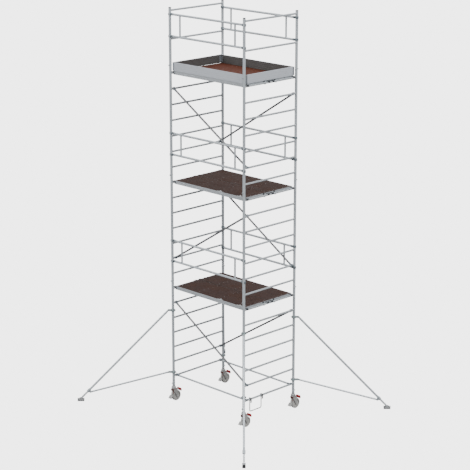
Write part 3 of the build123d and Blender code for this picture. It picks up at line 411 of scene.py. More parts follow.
def zinc_plate(name="zinc_plate", pale=shade(0.60, 0.61, 0.62)):
    """Bright zinc with soft spangle and dull spots."""
    finish = Finish(name)
    flakes = finish.add("TexVoronoi", None, {"Vector": finish.place, "Scale": 90.0}, out=0)
    dull = finish.rise(finish.noise(22.0, 5.0, 0.7), 0.52, 0.72)
    colour = finish.blend(shade(0.40, 0.41, 0.42), pale, finish.span(flakes, 0.4, 1.2))
    colour = finish.blend(colour, shade(0.33, 0.32, 0.29), dull * 0.45)
    return finish.done(colour, 0.30 + dull * 0.25 + flakes * 0.08, 0.75, flakes * 0.5 + dull * 0.3, 0.0003)


def extruded_beam():
    """Side and end beams of the decks, with extrusion lines and grime towards the lower edge."""
    finish = Finish("extruded_beam")
    x, y, z = finish.axes()
    colour, rough, height = worn_metal(finish, ALONG_X, shade(0.54, 0.57, 0.60), shade(0.33, 0.35, 0.37))
    end = finish.rise(abs(x), DECK_HIGH.x - 0.0305, DECK_HIGH.x - 0.0295)
    seam = 1.0 - finish.rise(abs(y), 0.036, 0.040)
    upward = finish.axes(finish.add("NewGeometry", out=1))[2]
    strip = end.apply("MAXIMUM", seam) * finish.rise(upward, 0.85, 0.95)
    cloud = finish.noise(30.0, 5.0, 0.7)
    coat = finish.blend(shade(0.026, 0.0125, 0.0095), shade(0.060, 0.031, 0.024), cloud)
    colour = finish.blend(colour, coat, strip)
    # painted shade: a near-black line along the gap between the two decks' middle beams, in place of the
    # shade in that gap
    slot = 1.0 - finish.rise(abs(y), 0.0042, 0.0050)
    colour = finish.blend(colour, shade(0.020, 0.015, 0.012), slot)
    level = z - DECK_RUNGS[0]
    above = level - (level / (FRAME_RUNGS * PITCH)).apply("ROUND") * (FRAME_RUNGS * PITCH)
    groove = 1.0 - finish.rise(abs(abs(above - 0.006) - 0.012), 0.0008, 0.0018)
    colour = finish.blend(colour, GRIME, groove * 0.35)
    return finish.done(colour, rough + strip * 0.3, 0.5 - strip * 0.5, height * 0.3 - groove, 0.0009)


def film_plywood():
    """Brown phenolic film with a wire-mesh tread, scuffed where people walk, redder high up."""
    finish = Finish("film_plywood")
    x, y, z = finish.axes()
    wave = 2 * math.pi / 0.0065
    first = ((x + y) * wave).apply("SINE")
    second = ((x - y) * wave).apply("SINE")
    mesh = finish.rise(abs(first) * abs(second), 0.05, 0.55)
    cloud = finish.noise(5.0, 5.0, 0.6)
    walked = finish.rise(finish.noise(2.6, 4.0, 0.6), 0.48, 0.66)
    scuff = finish.rise(finish.streaks((0, 0, 0.5), 0.09, 0.004, 2.0), 0.62, 0.72)
    grit = finish.rise(finish.noise(130.0, 3.0, 0.7), 0.60, 0.72)
    high = finish.rise(z, 5.0, 5.4)
    dark = finish.blend(shade(0.026, 0.0125, 0.0095), shade(0.060, 0.016, 0.008), high)
    pale = finish.blend(shade(0.058, 0.028, 0.021), shade(0.115, 0.032, 0.016), high)
    colour = finish.blend(dark, pale, finish.span(cloud, 0.15, 0.95))
    colour = finish.blend(colour, shade(0.120, 0.072, 0.052), walked * mesh * 0.22)
    colour = finish.blend(colour, shade(0.20, 0.15, 0.12), scuff * walked * 0.35)
    colour = finish.blend(colour, shade(0.22, 0.20, 0.17), grit * 0.12)
    rough = 0.52 + walked * 0.2 + mesh * 0.08
    height = mesh + grit * 0.3 - scuff * 0.4
    return finish.done(colour, rough, 0.0, height, 0.0007, Specular_IOR_Level=0.12)


def toe_board_skin():
    """Boards pale outside, with painted shade on the inner faces, and long shallow extrusion grooves."""
    finish = Finish("toe_board_skin")
    x, y, z = finish.axes()
    low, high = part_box("toe_boards")
    edge = 0.0225
    past_x = finish.rise(abs(x), high.x - edge, high.x - edge + 0.001)
    past_y = finish.rise(abs(y), high.y - edge, high.y - edge + 0.001)
    outside = past_x.apply("MAXIMUM", past_y)
    colour, rough, height = worn_metal(finish, ALONG_X, shade(0.60, 0.63, 0.68), shade(0.44, 0.46, 0.50))
    row = ((z - low.z) / 0.0375).apply("FRACT")
    groove = 1.0 - finish.rise(abs(row - 0.5), 0.03, 0.07)
    # painted shade: the inner faces get this dark grey in place of the shade they stand in; the outer faces
    # keep the pale metal
    inside = finish.blend(shade(0.075, 0.072, 0.070), shade(0.125, 0.122, 0.120), finish.noise(6.0, 5.0, 0.6))
    colour = finish.blend(inside, colour, outside)
    colour = finish.blend(colour, GRIME, groove * 0.20)
    return finish.done(colour, rough + 0.08, 0.35, height * 0.25 - groove, 0.0008)


def moulded(name, dark, pale, rough=0.45, grain=320.0, depth=0.0003):
    """Moulded plastic or rubber with fine grain, dust and handling marks."""
    finish = Finish(name)
    fine = finish.noise(grain, 3.0, 0.6)
    cloud = finish.noise(11.0, 4.0, 0.6)
    dust = finish.rise(finish.noise(28.0, 5.0, 0.7), 0.55, 0.75)
    colour = finish.blend(dark, pale, cloud)
    colour = finish.blend(colour, shade(0.34, 0.32, 0.29), dust * 0.14)
    return finish.done(colour, rough + dust * 0.2 + fine * 0.06, 0.0, fine, depth)


def brake_paint(corner):
    """Red release pad and strap at the back, grey pedal at the front."""
    finish = Finish("brake_paint_" + corner)
    _, y, _ = finish.axes()
    back = finish.rise(y - CORNERS[corner][1], 0.104, 0.107)
    strap = finish.rise(y - CORNERS[corner][1], -0.036, -0.033) * (1.0 - back)
    fine = finish.noise(300.0, 3.0)
    worn = finish.rise(finish.noise(46.0, 5.0, 0.7), 0.57, 0.70)
    red = finish.blend(shade(0.30, 0.004, 0.008), shade(0.42, 0.008, 0.012), finish.noise(20.0))
    rust = finish.blend(shade(0.16, 0.030, 0.024), shade(0.26, 0.055, 0.042), finish.noise(30.0))
    grey = finish.blend(shade(0.34, 0.335, 0.325), shade(0.46, 0.455, 0.44), finish.noise(25.0))
    colour = finish.blend(finish.blend(grey, rust, strap), red, back)
    colour = finish.blend(colour, shade(0.30, 0.29, 0.28), worn * 0.30)
    return finish.done(colour, 0.36 + worn * 0.25, 0.0, fine * 0.5 - worn * 0.4, 0.0003)


def wheel_plastic(corner):
    """Pale wheel core with a darker ring round the hub and dust on the ribs."""
    finish = Finish("wheel_plastic_" + corner)
    hub = joint_place("wheel_roll_" + corner)
    _, y, z = finish.axes(finish.shifted(tuple(hub)))
    radius = (y * y + z * z).apply("SQRT")
    near = 1.0 - finish.rise(radius, 0.024, 0.027)
    ring = finish.rise(radius, 0.060, 0.066)
    cloud = finish.noise(16.0, 4.0, 0.6)
    dust = finish.rise(finish.noise(35.0, 5.0, 0.7), 0.52, 0.74)
    fine = finish.noise(350.0, 3.0)
    colour = finish.blend(shade(0.46, 0.45, 0.43), shade(0.58, 0.57, 0.545), cloud)
    colour = finish.blend(colour, shade(0.25, 0.24, 0.23), near * 0.7)
    colour = finish.blend(colour, shade(0.31, 0.30, 0.285), ring * 0.45)
    colour = finish.blend(colour, shade(0.24, 0.20, 0.16), dust * 0.22)
    return finish.done(colour, 0.48 + dust * 0.2, 0.0, fine + dust * 0.3, 0.0003)


def tyre_tread(corner):
    """Grey tread, scuffed across its running face, with a moulding line on each shoulder."""
    finish = Finish("tyre_tread_" + corner)
    hub = joint_place("wheel_roll_" + corner)
    _, y, z = finish.axes(finish.shifted(tuple(hub)))
    radius = (y * y + z * z).apply("SQRT")
    running = finish.rise(radius, 0.096, 0.0995)
    line = 1.0 - finish.rise(abs(radius - 0.0885), 0.0006, 0.0014)
    scuff = finish.rise(finish.noise(60.0, 5.0, 0.7), 0.46, 0.66)
    fine = finish.noise(280.0, 4.0, 0.7)
    colour = finish.blend(shade(0.33, 0.325, 0.31), shade(0.42, 0.41, 0.39), finish.noise(18.0))
    colour = finish.blend(colour, shade(0.15, 0.135, 0.12), running * scuff * 0.5)
    colour = finish.blend(colour, shade(0.18, 0.17, 0.16), line * 0.6)
    rough = 0.62 + running * 0.15
    return finish.done(colour, rough, 0.0, fine * 0.4 - scuff * running * 0.6 - line, 0.0006)


def fork_steel(corner):
    """Plated head over a grey pressed fork with a painted shadow on its front side, chipped at the edges."""
    finish = Finish("fork_steel_" + corner)
    _, y, z = finish.axes()
    head = finish.rise(z, 0.2475, 0.2485)
    chips = finish.rise(finish.noise(75.0, 5.0, 0.7), 0.60, 0.68)
    cloud = finish.noise(15.0, 4.0)
    plate = finish.blend(shade(0.42, 0.42, 0.42), shade(0.58, 0.58, 0.57), cloud)
    grey = finish.blend(shade(0.36, 0.355, 0.34), shade(0.48, 0.475, 0.46), cloud)
    dark = finish.blend(shade(0.050, 0.040, 0.036), shade(0.10, 0.080, 0.074), cloud)
    # painted shadow: the fork stays near black only on its front side, towards -Y, where the gap by the pedal
    # is shaded; elsewhere it turns grey
    dark = finish.blend(dark, grey, finish.rise(y - CORNERS[corner][1], -0.034, -0.022))
    dark = finish.blend(dark, shade(0.16, 0.15, 0.145), chips * 0.4)
    band = finish.rise(z, 0.2385, 0.2395) * (1.0 - head)
    dark = finish.blend(dark, shade(0.22, 0.045, 0.035), band * 0.7)
    colour = finish.blend(dark, plate, head)
    fine = finish.noise(220.0, 3.0)
    return finish.done(colour, 0.42 + chips * 0.12, 0.35 + head * 0.3, fine * 0.5 - chips * 0.5, 0.0004)


def foot_finish(corner):
    """Dark rubber shoe with dust where it stands, and a pale plated channel inside it."""
    finish = Finish("foot_finish_" + corner)
    foot = joint_place("outrigger_foot_tilt_" + corner)
    local = finish.shifted((foot.x, foot.y, 0), (0, 0, math.radians(HEADINGS[corner])))
    along, _, z = finish.axes(local)
    above = finish.rise(z, 0.0138, 0.0142)
    between = 1.0 - finish.rise(abs(along), 0.0533, 0.0537)
    channel = above * between
    dust = finish.rise(finish.noise(40.0, 5.0, 0.7), 0.45, 0.70)
    rubber = finish.blend(shade(0.020, 0.021, 0.022), shade(0.045, 0.046, 0.048), finish.noise(20.0))
    rubber = finish.blend(rubber, shade(0.20, 0.18, 0.155), dust * (1.0 - finish.rise(z, 0.0, 0.012)) * 0.5)
    plate = finish.blend(shade(0.38, 0.39, 0.40), shade(0.56, 0.57, 0.58), finish.noise(32.0, 5.0, 0.7))
    plate = finish.blend(plate, shade(0.28, 0.26, 0.23), dust * 0.35)
    colour = finish.blend(rubber, plate, channel)
    fine = finish.noise(260.0, 4.0, 0.7)
    return finish.done(colour, 0.75 - channel * 0.35, channel * 0.5, fine, 0.0005)


def weld_metal():
    """Rippled aluminium weld with a slight heat tint."""
    finish = Finish("weld_metal")
    ripple = finish.noise(520.0, 2.0)
    tint = finish.noise(45.0, 3.0)
    colour = finish.blend(shade(0.40, 0.41, 0.42), shade(0.62, 0.64, 0.66), ripple)
    colour = finish.blend(colour, shade(0.25, 0.22, 0.18), tint * 0.3)
    return finish.done(colour, 0.36 + ripple * 0.2, 0.6, ripple, 0.0006)


def set_finish(material, *names):
    """Give CAD nodes their material."""
    for name in names:
        slots = NODES[name].material_slots
        for slot in slots:
            slot.material = material
        if not slots:
            NODES[name].data.materials.append(material)


def finish_tower():
    """Materials of what stands still."""
    ladders = [n for n in NODES if "_frame_" in n]
    set_finish(ladder_tube(), *ladders)
    rails = drawn_tube("rail_tube", ALONG_X)
    set_finish(rails, "horizontal_braces", *[level + "_guardrails" for level in LEVELS])
    # painted shade: the diagonals get a much darker grey than the rails, standing in for the shade they are
    # seen in
    set_finish(drawn_tube("brace_tube_painted_shade", ALONG_X, shade(0.17, 0.175, 0.18), shade(0.065, 0.068, 0.072)),
               *[level + "_diagonals" for level in LEVELS])
    set_finish(cast_grey("claw_casting", shade(0.095, 0.118, 0.130), shade(0.22, 0.26, 0.28)),
               "guardrail_claws", "brace_claws")
    set_finish(cast_grey("hook_coating", shade(0.030, 0.032, 0.036), shade(0.085, 0.09, 0.10)),
               "deck_hooks", "wind_locks")
    set_finish(zinc_plate(), "frame_spigots", "castor_stems", "hatch_hinges")
    set_finish(zinc_plate("clip_plate", shade(0.42, 0.44, 0.46)), "locking_clips")
    set_finish(cast_grey("step_steel", shade(0.10, 0.10, 0.098), shade(0.20, 0.20, 0.195)), "entry_step")
    set_finish(extruded_beam(), "deck_frames")
    set_finish(film_plywood(), "deck_panels", *[level + "_hatch" for level in LEVELS])
    set_finish(toe_board_skin(), "toe_boards")
    set_finish(moulded("cap_plastic", shade(0.022, 0.022, 0.024), shade(0.05, 0.05, 0.054)), "upright_caps")
    set_finish(cast_grey("board_fitting", shade(0.14, 0.15, 0.165), shade(0.26, 0.275, 0.295)),
               "toe_board_clips")


def finish_corners():
    """Materials of the castors and outriggers."""
    for corner in CORNERS:
        set_finish(fork_steel(corner), "castor_fork_" + corner)
        set_finish(wheel_plastic(corner), "castor_wheel_" + corner)
        set_finish(tyre_tread(corner), "castor_tyre_" + corner)
        set_finish(brake_paint(corner), "castor_brake_" + corner)
        set_finish(outrigger_tube(corner), "outrigger_arm_" + corner)
        set_finish(telescopic_tube(corner), "outrigger_inner_tube_" + corner)
        set_finish(foot_finish(corner), "outrigger_foot_" + corner)


# Patterns for what repeats --------------------------------------------------------------------

def lathe(name, profile, steps):
    """Mesh turned about Z from (radius, height) pairs that start and end on the axis."""
    shape = bmesh.new()
    stack_rings(shape, profile, steps)
    return pattern_object(name, shape)


def stack_rings(shape, profile, steps):
    """Joined rings about Z, one for each (radius, height), with a single point where radius is 0."""
    rings = []
    for radius, height in profile:
        count = 1 if radius == 0 else steps
        angles = [2 * math.pi * k / steps for k in range(count)]
        rings.append([shape.verts.new((radius * math.cos(a), radius * math.sin(a), height)) for a in angles])
    for low, high in zip(rings, rings[1:]):
        join_rings(shape, low, high, steps)
    return rings


def join_rings(shape, low, high, steps):
    """Faces between two rings, either of which may be a single point."""
    for k in range(steps):
        after = (k + 1) % steps
        around = [low[k % len(low)], low[after % len(low)], high[after % len(high)], high[k % len(high)]]
        corners = list(dict.fromkeys(around))
        if len(corners) > 2:
            shape.faces.new(corners)


def put_in_order(items, place):
    """List vertices, edges or faces by where they are, since a bevel may list them in any order."""
    ranked = sorted(items, key=lambda item: tuple(place(item)))
    ranks = {item: rank for rank, item in enumerate(ranked)}
    items.sort(key=ranks.get)
    items.index_update()


def pattern_object(name, shape):
    """Finished bmesh as an object that Geometry Nodes can copy."""
    bmesh.ops.remove_doubles(shape, verts=shape.verts, dist=1e-6)
    bmesh.ops.recalc_face_normals(shape, faces=shape.faces)
    put_in_order(shape.verts, lambda vert: vert.co)
    put_in_order(shape.edges, lambda edge: edge.verts[0].co + edge.verts[1].co)
    put_in_order(shape.faces, lambda face: face.calc_center_median())
    mesh = bpy.data.meshes.new(name)
    shape.to_mesh(mesh)
    shape.free()
    thing = bpy.data.objects.new(name, mesh)
    bpy.context.scene.collection.objects.link(thing)
    return thing


def bevelled_box(shape, low, high, edge):
    """Box with softened edges, added to a bmesh."""
    centre = (Vector(low) + Vector(high)) / 2
    size = Vector(high) - Vector(low)
    place = Matrix.Translation(centre) @ Matrix.Diagonal((*size, 1))
    made = bmesh.ops.create_cube(shape, size=1.0, matrix=place)
    edges = list({e for v in made["verts"] for e in v.link_edges})
    bmesh.ops.bevel(shape, geom=edges, offset=edge, segments=2, affect="EDGES", profile=0.6)


def rivet(name, radius, height):
    """Low domed rivet head."""
    profile = [(0, -0.0004), (radius, -0.0004), (radius, height * 0.25), (radius * 0.86, height * 0.66),
               (radius * 0.5, height * 0.94), (0, height)]
    return lathe(name, profile, 10)


def hex_bolt(name, radius, height):
    """Washer and six-sided head with a chamfered top."""
    shape = bmesh.new()
    washer = [(radius * 1.25, 0.0), (radius * 1.25, height * 0.2), (radius * 1.05, height * 0.24)]
    head = [(radius, height * 0.2), (radius, height * 0.9), (radius * 0.84, height)]
    for profile, steps in ((washer, 18), (head, 6)):
        rings = stack_rings(shape, profile, steps)
        shape.faces.new(rings[0])
        shape.faces.new(rings[-1])
    return pattern_object(name, shape)


def wing_nut(name):
    """Round nut with two raised wings, on the Z axis."""
    shape = bmesh.new()
    for side in (-1, 1):
        outline = [(0.004, 0.001), (0.017, 0.006), (0.019, 0.013), (0.014, 0.015), (0.008, 0.010),
                   (0.004, 0.009)]
        front = [shape.verts.new((side * x, -0.0022, z)) for x, z in outline]
        back = [shape.verts.new((side * x, 0.0022, z)) for x, z in outline]
        shape.faces.new(front)
        shape.faces.new(back)
        for k in range(len(outline)):
            after = (k + 1) % len(outline)
            shape.faces.new([front[k], front[after], back[after], back[k]])
    bmesh.ops.bevel(shape, geom=list(shape.edges), offset=0.0006, segments=1, affect="EDGES")
    barrel = [(0, 0), (0.0075, 0), (0.0078, 0.002), (0.0066, 0.009), (0.0060, 0.010), (0, 0.010)]
    stack_rings(shape, barrel, 14)
    return pattern_object(name, shape)


def rib_bar(name, length, width, height):
    """Rounded ridge along X."""
    shape = bmesh.new()
    low = (-length / 2, -width / 2, -height * 0.3)
    bevelled_box(shape, low, (length / 2, width / 2, height), width * 0.28)
    return pattern_object(name, shape)


def weld_bead(name):
    """Bead where a rung along +Y meets an upright on the Z axis, with its ripples."""
    shape = bmesh.new()
    steps, sides = 40, 6
    rings = []
    for k in range(steps):
        angle = 2 * math.pi * k / steps
        size = 0.0024 + 0.0004 * math.sin(angle * 13)
        radial = Vector((math.cos(angle), 0, math.sin(angle)))
        seat = RUNG_R * math.cos(angle)
        centre = radial * RUNG_R + Vector((0, math.sqrt(TUBE_R ** 2 - seat ** 2), 0))
        ring = []
        for s in range(sides):
            turn = 2 * math.pi * s / sides
            out = radial * (size * math.cos(turn)) + Vector((0, size * math.sin(turn), 0))
            ring.append(shape.verts.new(centre + out))
        rings.append(ring)
    for k in range(steps):
        join_rings(shape, rings[k], rings[(k + 1) % steps], sides)
    return pattern_object(name, shape)


# Geometry Nodes that lay the patterns out ----------------------------------------------------------

def new_tree(name, inputs):
    """Geometry node group with named inputs, and its two ends."""
    tree = bpy.data.node_groups.new(name, "GeometryNodeTree")
    tree.interface.new_socket("Geometry", in_out="INPUT", socket_type="NodeSocketGeometry")
    for label, kind in inputs:
        tree.interface.new_socket(label, in_out="INPUT", socket_type="NodeSocket" + kind)
    tree.interface.new_socket("Geometry", in_out="OUTPUT", socket_type="NodeSocketGeometry")
    return tree, tree.nodes.new("NodeGroupInput"), tree.nodes.new("NodeGroupOutput")


def tree_node(tree, kind, settings=None, links=None):
    """Geometry node with settings, then sockets that are linked or set."""
    node = tree.nodes.new(kind)
    for key, value in (settings or {}).items():
        setattr(node, key, value)
    for key, value in (links or {}).items():
        if isinstance(value, bpy.types.NodeSocket):
            tree.links.new(value, node.inputs[key])
        else:
            node.inputs[key].default_value = value
    return node


def finish_tree(tree, given, end, points, turn):
    """Copies of the pattern on points, made real and given their finish."""
    pattern = tree_node(tree, "GeometryNodeObjectInfo", None, {"Object": given.outputs["Pattern"]})
    copies = tree_node(tree, "GeometryNodeInstanceOnPoints", None, {
        "Points": points, "Instance": pattern.outputs["Geometry"], "Rotation": turn,
        "Scale": given.outputs["Size"],
    })
    real = tree_node(tree, "GeometryNodeRealizeInstances", None, {"Geometry": copies.outputs["Instances"]})
    coated = tree_node(tree, "GeometryNodeSetMaterial", None, {
        "Geometry": real.outputs["Geometry"], "Material": given.outputs["Finish"],
    })
    tree.links.new(coated.outputs["Geometry"], end.inputs["Geometry"])
    return tree


def placing_tree():
    """Pattern on every point of the mesh, turned by the point's own attribute."""
    tree, given, end = new_tree("place_on_points", [
        ("Pattern", "Object"), ("Size", "Float"), ("Finish", "Material"),
    ])
    kind = {"data_type": "FLOAT_VECTOR"}
    named = tree_node(tree, "GeometryNodeInputNamedAttribute", kind, {"Name": "turn"})
    turn = tree_node(tree, "FunctionNodeEulerToRotation", None, {"Euler": named.outputs["Attribute"]})
    return finish_tree(tree, given, end, given.outputs["Geometry"], turn.outputs["Rotation"])


def row_tree():
    """Pattern in a straight row."""
    tree, given, end = new_tree("lay_in_a_row", [
        ("Pattern", "Object"), ("Size", "Float"), ("Finish", "Material"), ("Count", "Int"),
        ("Start", "Vector"), ("Step", "Vector"), ("Turn", "Vector"),
    ])
    line = tree_node(tree, "GeometryNodeMeshLine", {"mode": "OFFSET"}, {
        "Count": given.outputs["Count"], "Start Location": given.outputs["Start"],
        "Offset": given.outputs["Step"],
    })
    turn = tree_node(tree, "FunctionNodeEulerToRotation", None, {"Euler": given.outputs["Turn"]})
    return finish_tree(tree, given, end, line.outputs["Mesh"], turn.outputs["Rotation"])


def ring_tree():
    """Pattern round a circle about Z, its X axis outwards, the whole ring then turned and moved."""
    tree, given, end = new_tree("lay_in_a_ring", [
        ("Pattern", "Object"), ("Size", "Float"), ("Finish", "Material"), ("Count", "Int"),
        ("Radius", "Float"), ("Centre", "Vector"), ("Turn", "Vector"),
    ])
    circle = tree_node(tree, "GeometryNodeMeshCircle", None, {
        "Vertices": given.outputs["Count"], "Radius": given.outputs["Radius"],
    })
    place = tree_node(tree, "GeometryNodeInputPosition")
    outwards = {"Vector": place.outputs["Position"]}
    turn = tree_node(tree, "FunctionNodeAlignRotationToVector", {"axis": "X"}, outwards)
    finish_tree(tree, given, end, circle.outputs["Mesh"], turn.outputs["Rotation"])
    moved = tree_node(tree, "GeometryNodeTransform", None, {
        "Geometry": end.inputs["Geometry"].links[0].from_socket,
        "Translation": given.outputs["Centre"], "Rotation": given.outputs["Turn"],
    })
    tree.links.new(moved.outputs["Geometry"], end.inputs["Geometry"])
    return tree


def grow(name, tree, points, body, values):
    """Run a tree on an object made of points, and keep the result as a plain mesh on a body."""
    mesh = bpy.data.meshes.new(name + "_points")
    mesh.from_pydata([tuple(place) for place, _ in points], [], [])
    turns = mesh.attributes.new("turn", "FLOAT_VECTOR", "POINT")
    for item, (_, turn) in zip(turns.data, points):
        item.vector = turn
    seed = bpy.data.objects.new(name + "_seed", mesh)
    bpy.context.scene.collection.objects.link(seed)
    modifier = seed.modifiers.new("layout", "NODES")
    modifier.node_group = tree
    for item in tree.interface.items_tree:
        if item.in_out == "INPUT" and item.name in values:
            modifier[item.identifier] = values[item.name]
    bpy.context.view_layer.update()
    graph = bpy.context.evaluated_depsgraph_get()
    made = bpy.data.meshes.new_from_object(seed.evaluated_get(graph), depsgraph=graph)
    made.name = name
    seed.modifiers.remove(modifier)
    bpy.data.objects.remove(seed)
    piece = bpy.data.objects.new(name, made)
    bpy.context.scene.collection.objects.link(piece)
    made.shade_smooth()
    made.set_sharp_from_angle(angle=math.radians(38))
    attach(piece, body)
    return piece


NO_TURN = (0.0, 0.0, 0.0)
BACK_TURN = (0.0, 0.0, math.pi)
TREES = {"points": placing_tree(), "row": row_tree(), "ring": ring_tree()}


def place_all(name, pattern, finish, points, body="tower", size=1.0):
    """Pattern at each (place, turn)."""
    values = {"Pattern": pattern, "Size": size, "Finish": finish}
    return grow(name, TREES["points"], points, body, values)


def place_row(name, pattern, finish, start, step, count, turn, body):
    """Pattern in a row."""
    values = {"Pattern": pattern, "Size": 1.0, "Finish": finish, "Count": count, "Start": start, "Step": step,
              "Turn": turn}
    return grow(name, TREES["row"], [((0, 0, 0), NO_TURN)], body, values)


def place_ring(name, pattern, finish, centre, radius, count, turn, body):
    """Pattern in a ring."""
    values = {"Pattern": pattern, "Size": 1.0, "Finish": finish, "Count": count, "Radius": radius,
              "Centre": centre, "Turn": turn}
    return grow(name, TREES["ring"], [((0, 0, 0), NO_TURN)], body, values)


# Small pieces ---------------------------------------------------------------------------------

def rung_heights():
    """Every rung of one end wall."""
    ladder = [FIRST_RUNG + PITCH * k for k in range(RUNG_COUNT)]
    return ladder + [TOP_FRAME_BASE + rise for rise in TOP_FRAME_RUNGS]


def add_weld_beads():
    """Beads at both ends of every rung."""
    points = []
    for x in (-END_X, END_X):
        for z in rung_heights():
            points.append(((x, -SIDE_Y, z), NO_TURN))
            points.append(((x, SIDE_Y, z), BACK_TURN))
    place_all("weld_beads", weld_bead("bead_pattern"), weld_metal(), points)


def spaced(first, step, count):
    """Evenly spaced numbers."""
    return [first + step * k for k in range(count)]


def deck_rivet_points():
    """Rivets that hold the deck beams, on the lips and the end beams."""
    points = []
    edge_y = DECK_HIGH.y - 0.005
    end_x = DECK_HIGH.x - 0.015
    for z in DECK_RUNGS:
        top = z + DECK_TOP
        for side in (-1, 1):
            count = 11 if side > 0 else 6
            points += [((x, side * edge_y, top), NO_TURN) for x in spaced(-0.80, 0.16, count)]
            for end in (-1, 1):
                points += [((end * end_x, side * y, top), NO_TURN) for y in spaced(0.10, 0.14, 4)]
    return points


def side_rivet_points():
    """Rivets through the webs of the outer beams and the toe boards' corners."""
    points = []
    face_y = DECK_HIGH.y
    for side in (-1, 1):
        turn = (-side * math.pi / 2, 0.0, 0.0)
        for z in DECK_RUNGS:
            points += [((x, side * face_y, z - 0.010), turn) for x in spaced(-0.83, 0.166, 11)]
    low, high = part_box("toe_boards")
    for side in (-1, 1):
        for end in (-1, 1):
            for z in spaced(low.z + 0.035, 0.040, 3):
                points.append(((end * (high.x - 0.045), side * high.y, z), (-side * math.pi / 2, 0.0, 0.0)))
                points.append(((end * high.x, side * (high.y - 0.050), z), (0.0, end * math.pi / 2, 0.0)))
    return points


def screw_points():
    """Countersunk screws in the plywood over the bearers and along its edges."""
    points = []
    across = spaced(0.06, 0.115, 5)
    for z in DECK_RUNGS:
        top = z + DECK_TOP - 0.0004
        points += [((x, y, top), NO_TURN) for x in (-0.425, 0.0, 0.425) for y in across]
        points += [((x, -y, top), NO_TURN) for x in (-0.343, 0.184, 0.842) for y in across]
        points += [((x, y, top), NO_TURN) for x in (-0.845, 0.845) for y in across]
        points += [((-0.845, -y, top), NO_TURN) for y in across]
    return points


def hook_points():
    """Two rivets on the plate of every deck hook."""
    points = []
    for z in DECK_RUNGS:
        top = z + RUNG_R + 0.008
        for end in (-1, 1):
            for y in (-0.578, -0.050, 0.050, 0.578):
                points += [((end * END_X, y + shift, top), NO_TURN) for shift in (-0.012, 0.012)]
    return points


def hinge_points(level):
    """Rivets on the moving straps of a hatch, and on the fixed leaves."""
    low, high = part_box(LEVELS[level] + "_hatch")
    straps, leaves = [], []
    top = DECK_RUNGS[level] + DECK_TOP + 0.0025
    inset = 0.067  # from the hatch's end to the middle of a hinge
    for x in (low.x + inset, high.x - inset):
        for shift in (-0.043, 0.043):
            straps += [((x + shift, y, top), NO_TURN) for y in (-0.545, -0.525)]
        leaves += [((x + shift, -0.583, top), NO_TURN) for shift in (-0.05, -0.017, 0.017, 0.05)]
    return straps, leaves


def add_deck_details():
    """Rivets, screws and hook pins of the decks."""
    plated = zinc_plate("rivet_plate", shade(0.52, 0.53, 0.54))
    dome = rivet("rivet_pattern", 0.0042, 0.0020)
    place_all("deck_rivets", dome, plated, deck_rivet_points())
    place_all("side_rivets", dome, plated, side_rivet_points())
    screw = lathe("screw_pattern", [(0, -0.0006), (0.0052, -0.0006), (0.0052, 0.0002), (0.0043, 0.0004),
                                    (0.0020, 0.0004), (0.0014, -0.0004), (0, -0.0004)], 12)
    place_all("panel_screws", screw, plated, screw_points())
    place_all("hook_rivets", rivet("hook_rivet_pattern", 0.0050, 0.0022), plated, hook_points())
    for level, name in enumerate(LEVELS):
        straps, leaves = hinge_points(level)
        small = rivet("small_rivet_pattern_" + name, 0.0030, 0.0013)
        place_all("hatch_rivets_" + name, small, plated, straps, "hatch_" + name)
        place_all("hinge_rivets_" + name, small, plated, leaves)


def add_claw_pins():
    """Pivot pin on the shank of every guardrail claw, and a domed pin beside every brace claw."""
    pin = rivet("claw_pin_pattern", 0.0060, 0.0026)
    plated = zinc_plate("pin_plate", shade(0.50, 0.52, 0.54))
    claw_x = END_X - 0.048
    rail_y = SIDE_Y - 0.018
    rail_r = 0.020
    shank = 0.0225
    points = []
    for level in LEVELS:
        rail_low, rail_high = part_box(level + "_guardrails")
        for z in (rail_low.z + rail_r, rail_high.z - rail_r):
            for end in (-1, 1):
                for side in (-1, 1):
                    for face in (-1, 1):
                        place = (end * claw_x, side * (rail_y + face * shank), z)
                        points.append((place, (-face * side * math.pi / 2, 0.0, 0.0)))
    place_all("claw_pins", pin, plated, points)
    points = []
    for left, right in ((6, 2), (9, 13), (20, 16), (1, 1)):
        for side in (-1, 1):
            for end, rung in ((-1, left if side < 0 else right), (1, right if side < 0 else left)):
                points += brace_pin_points(side, end, rung, left, right)
    place_all("brace_pins", pin, plated, points, size=0.8)


def brace_pin_points(side, end, rung, left, right):
    """Two pins on one brace claw, one on each face."""
    rise = PITCH * ((right - left) if side < 0 else (left - right))
    along = Vector((2 * END_X, 0, rise)).normalized() * -end
    place = Vector((end * END_X, side * (SIDE_Y - 0.078), FIRST_RUNG + PITCH * (rung - 1))) + along * 0.050
    face = 0.019
    return [
        ((place.x, place.y + face, place.z), (-math.pi / 2, 0.0, 0.0)),
        ((place.x, place.y - face, place.z), (math.pi / 2, 0.0, 0.0)),
    ]


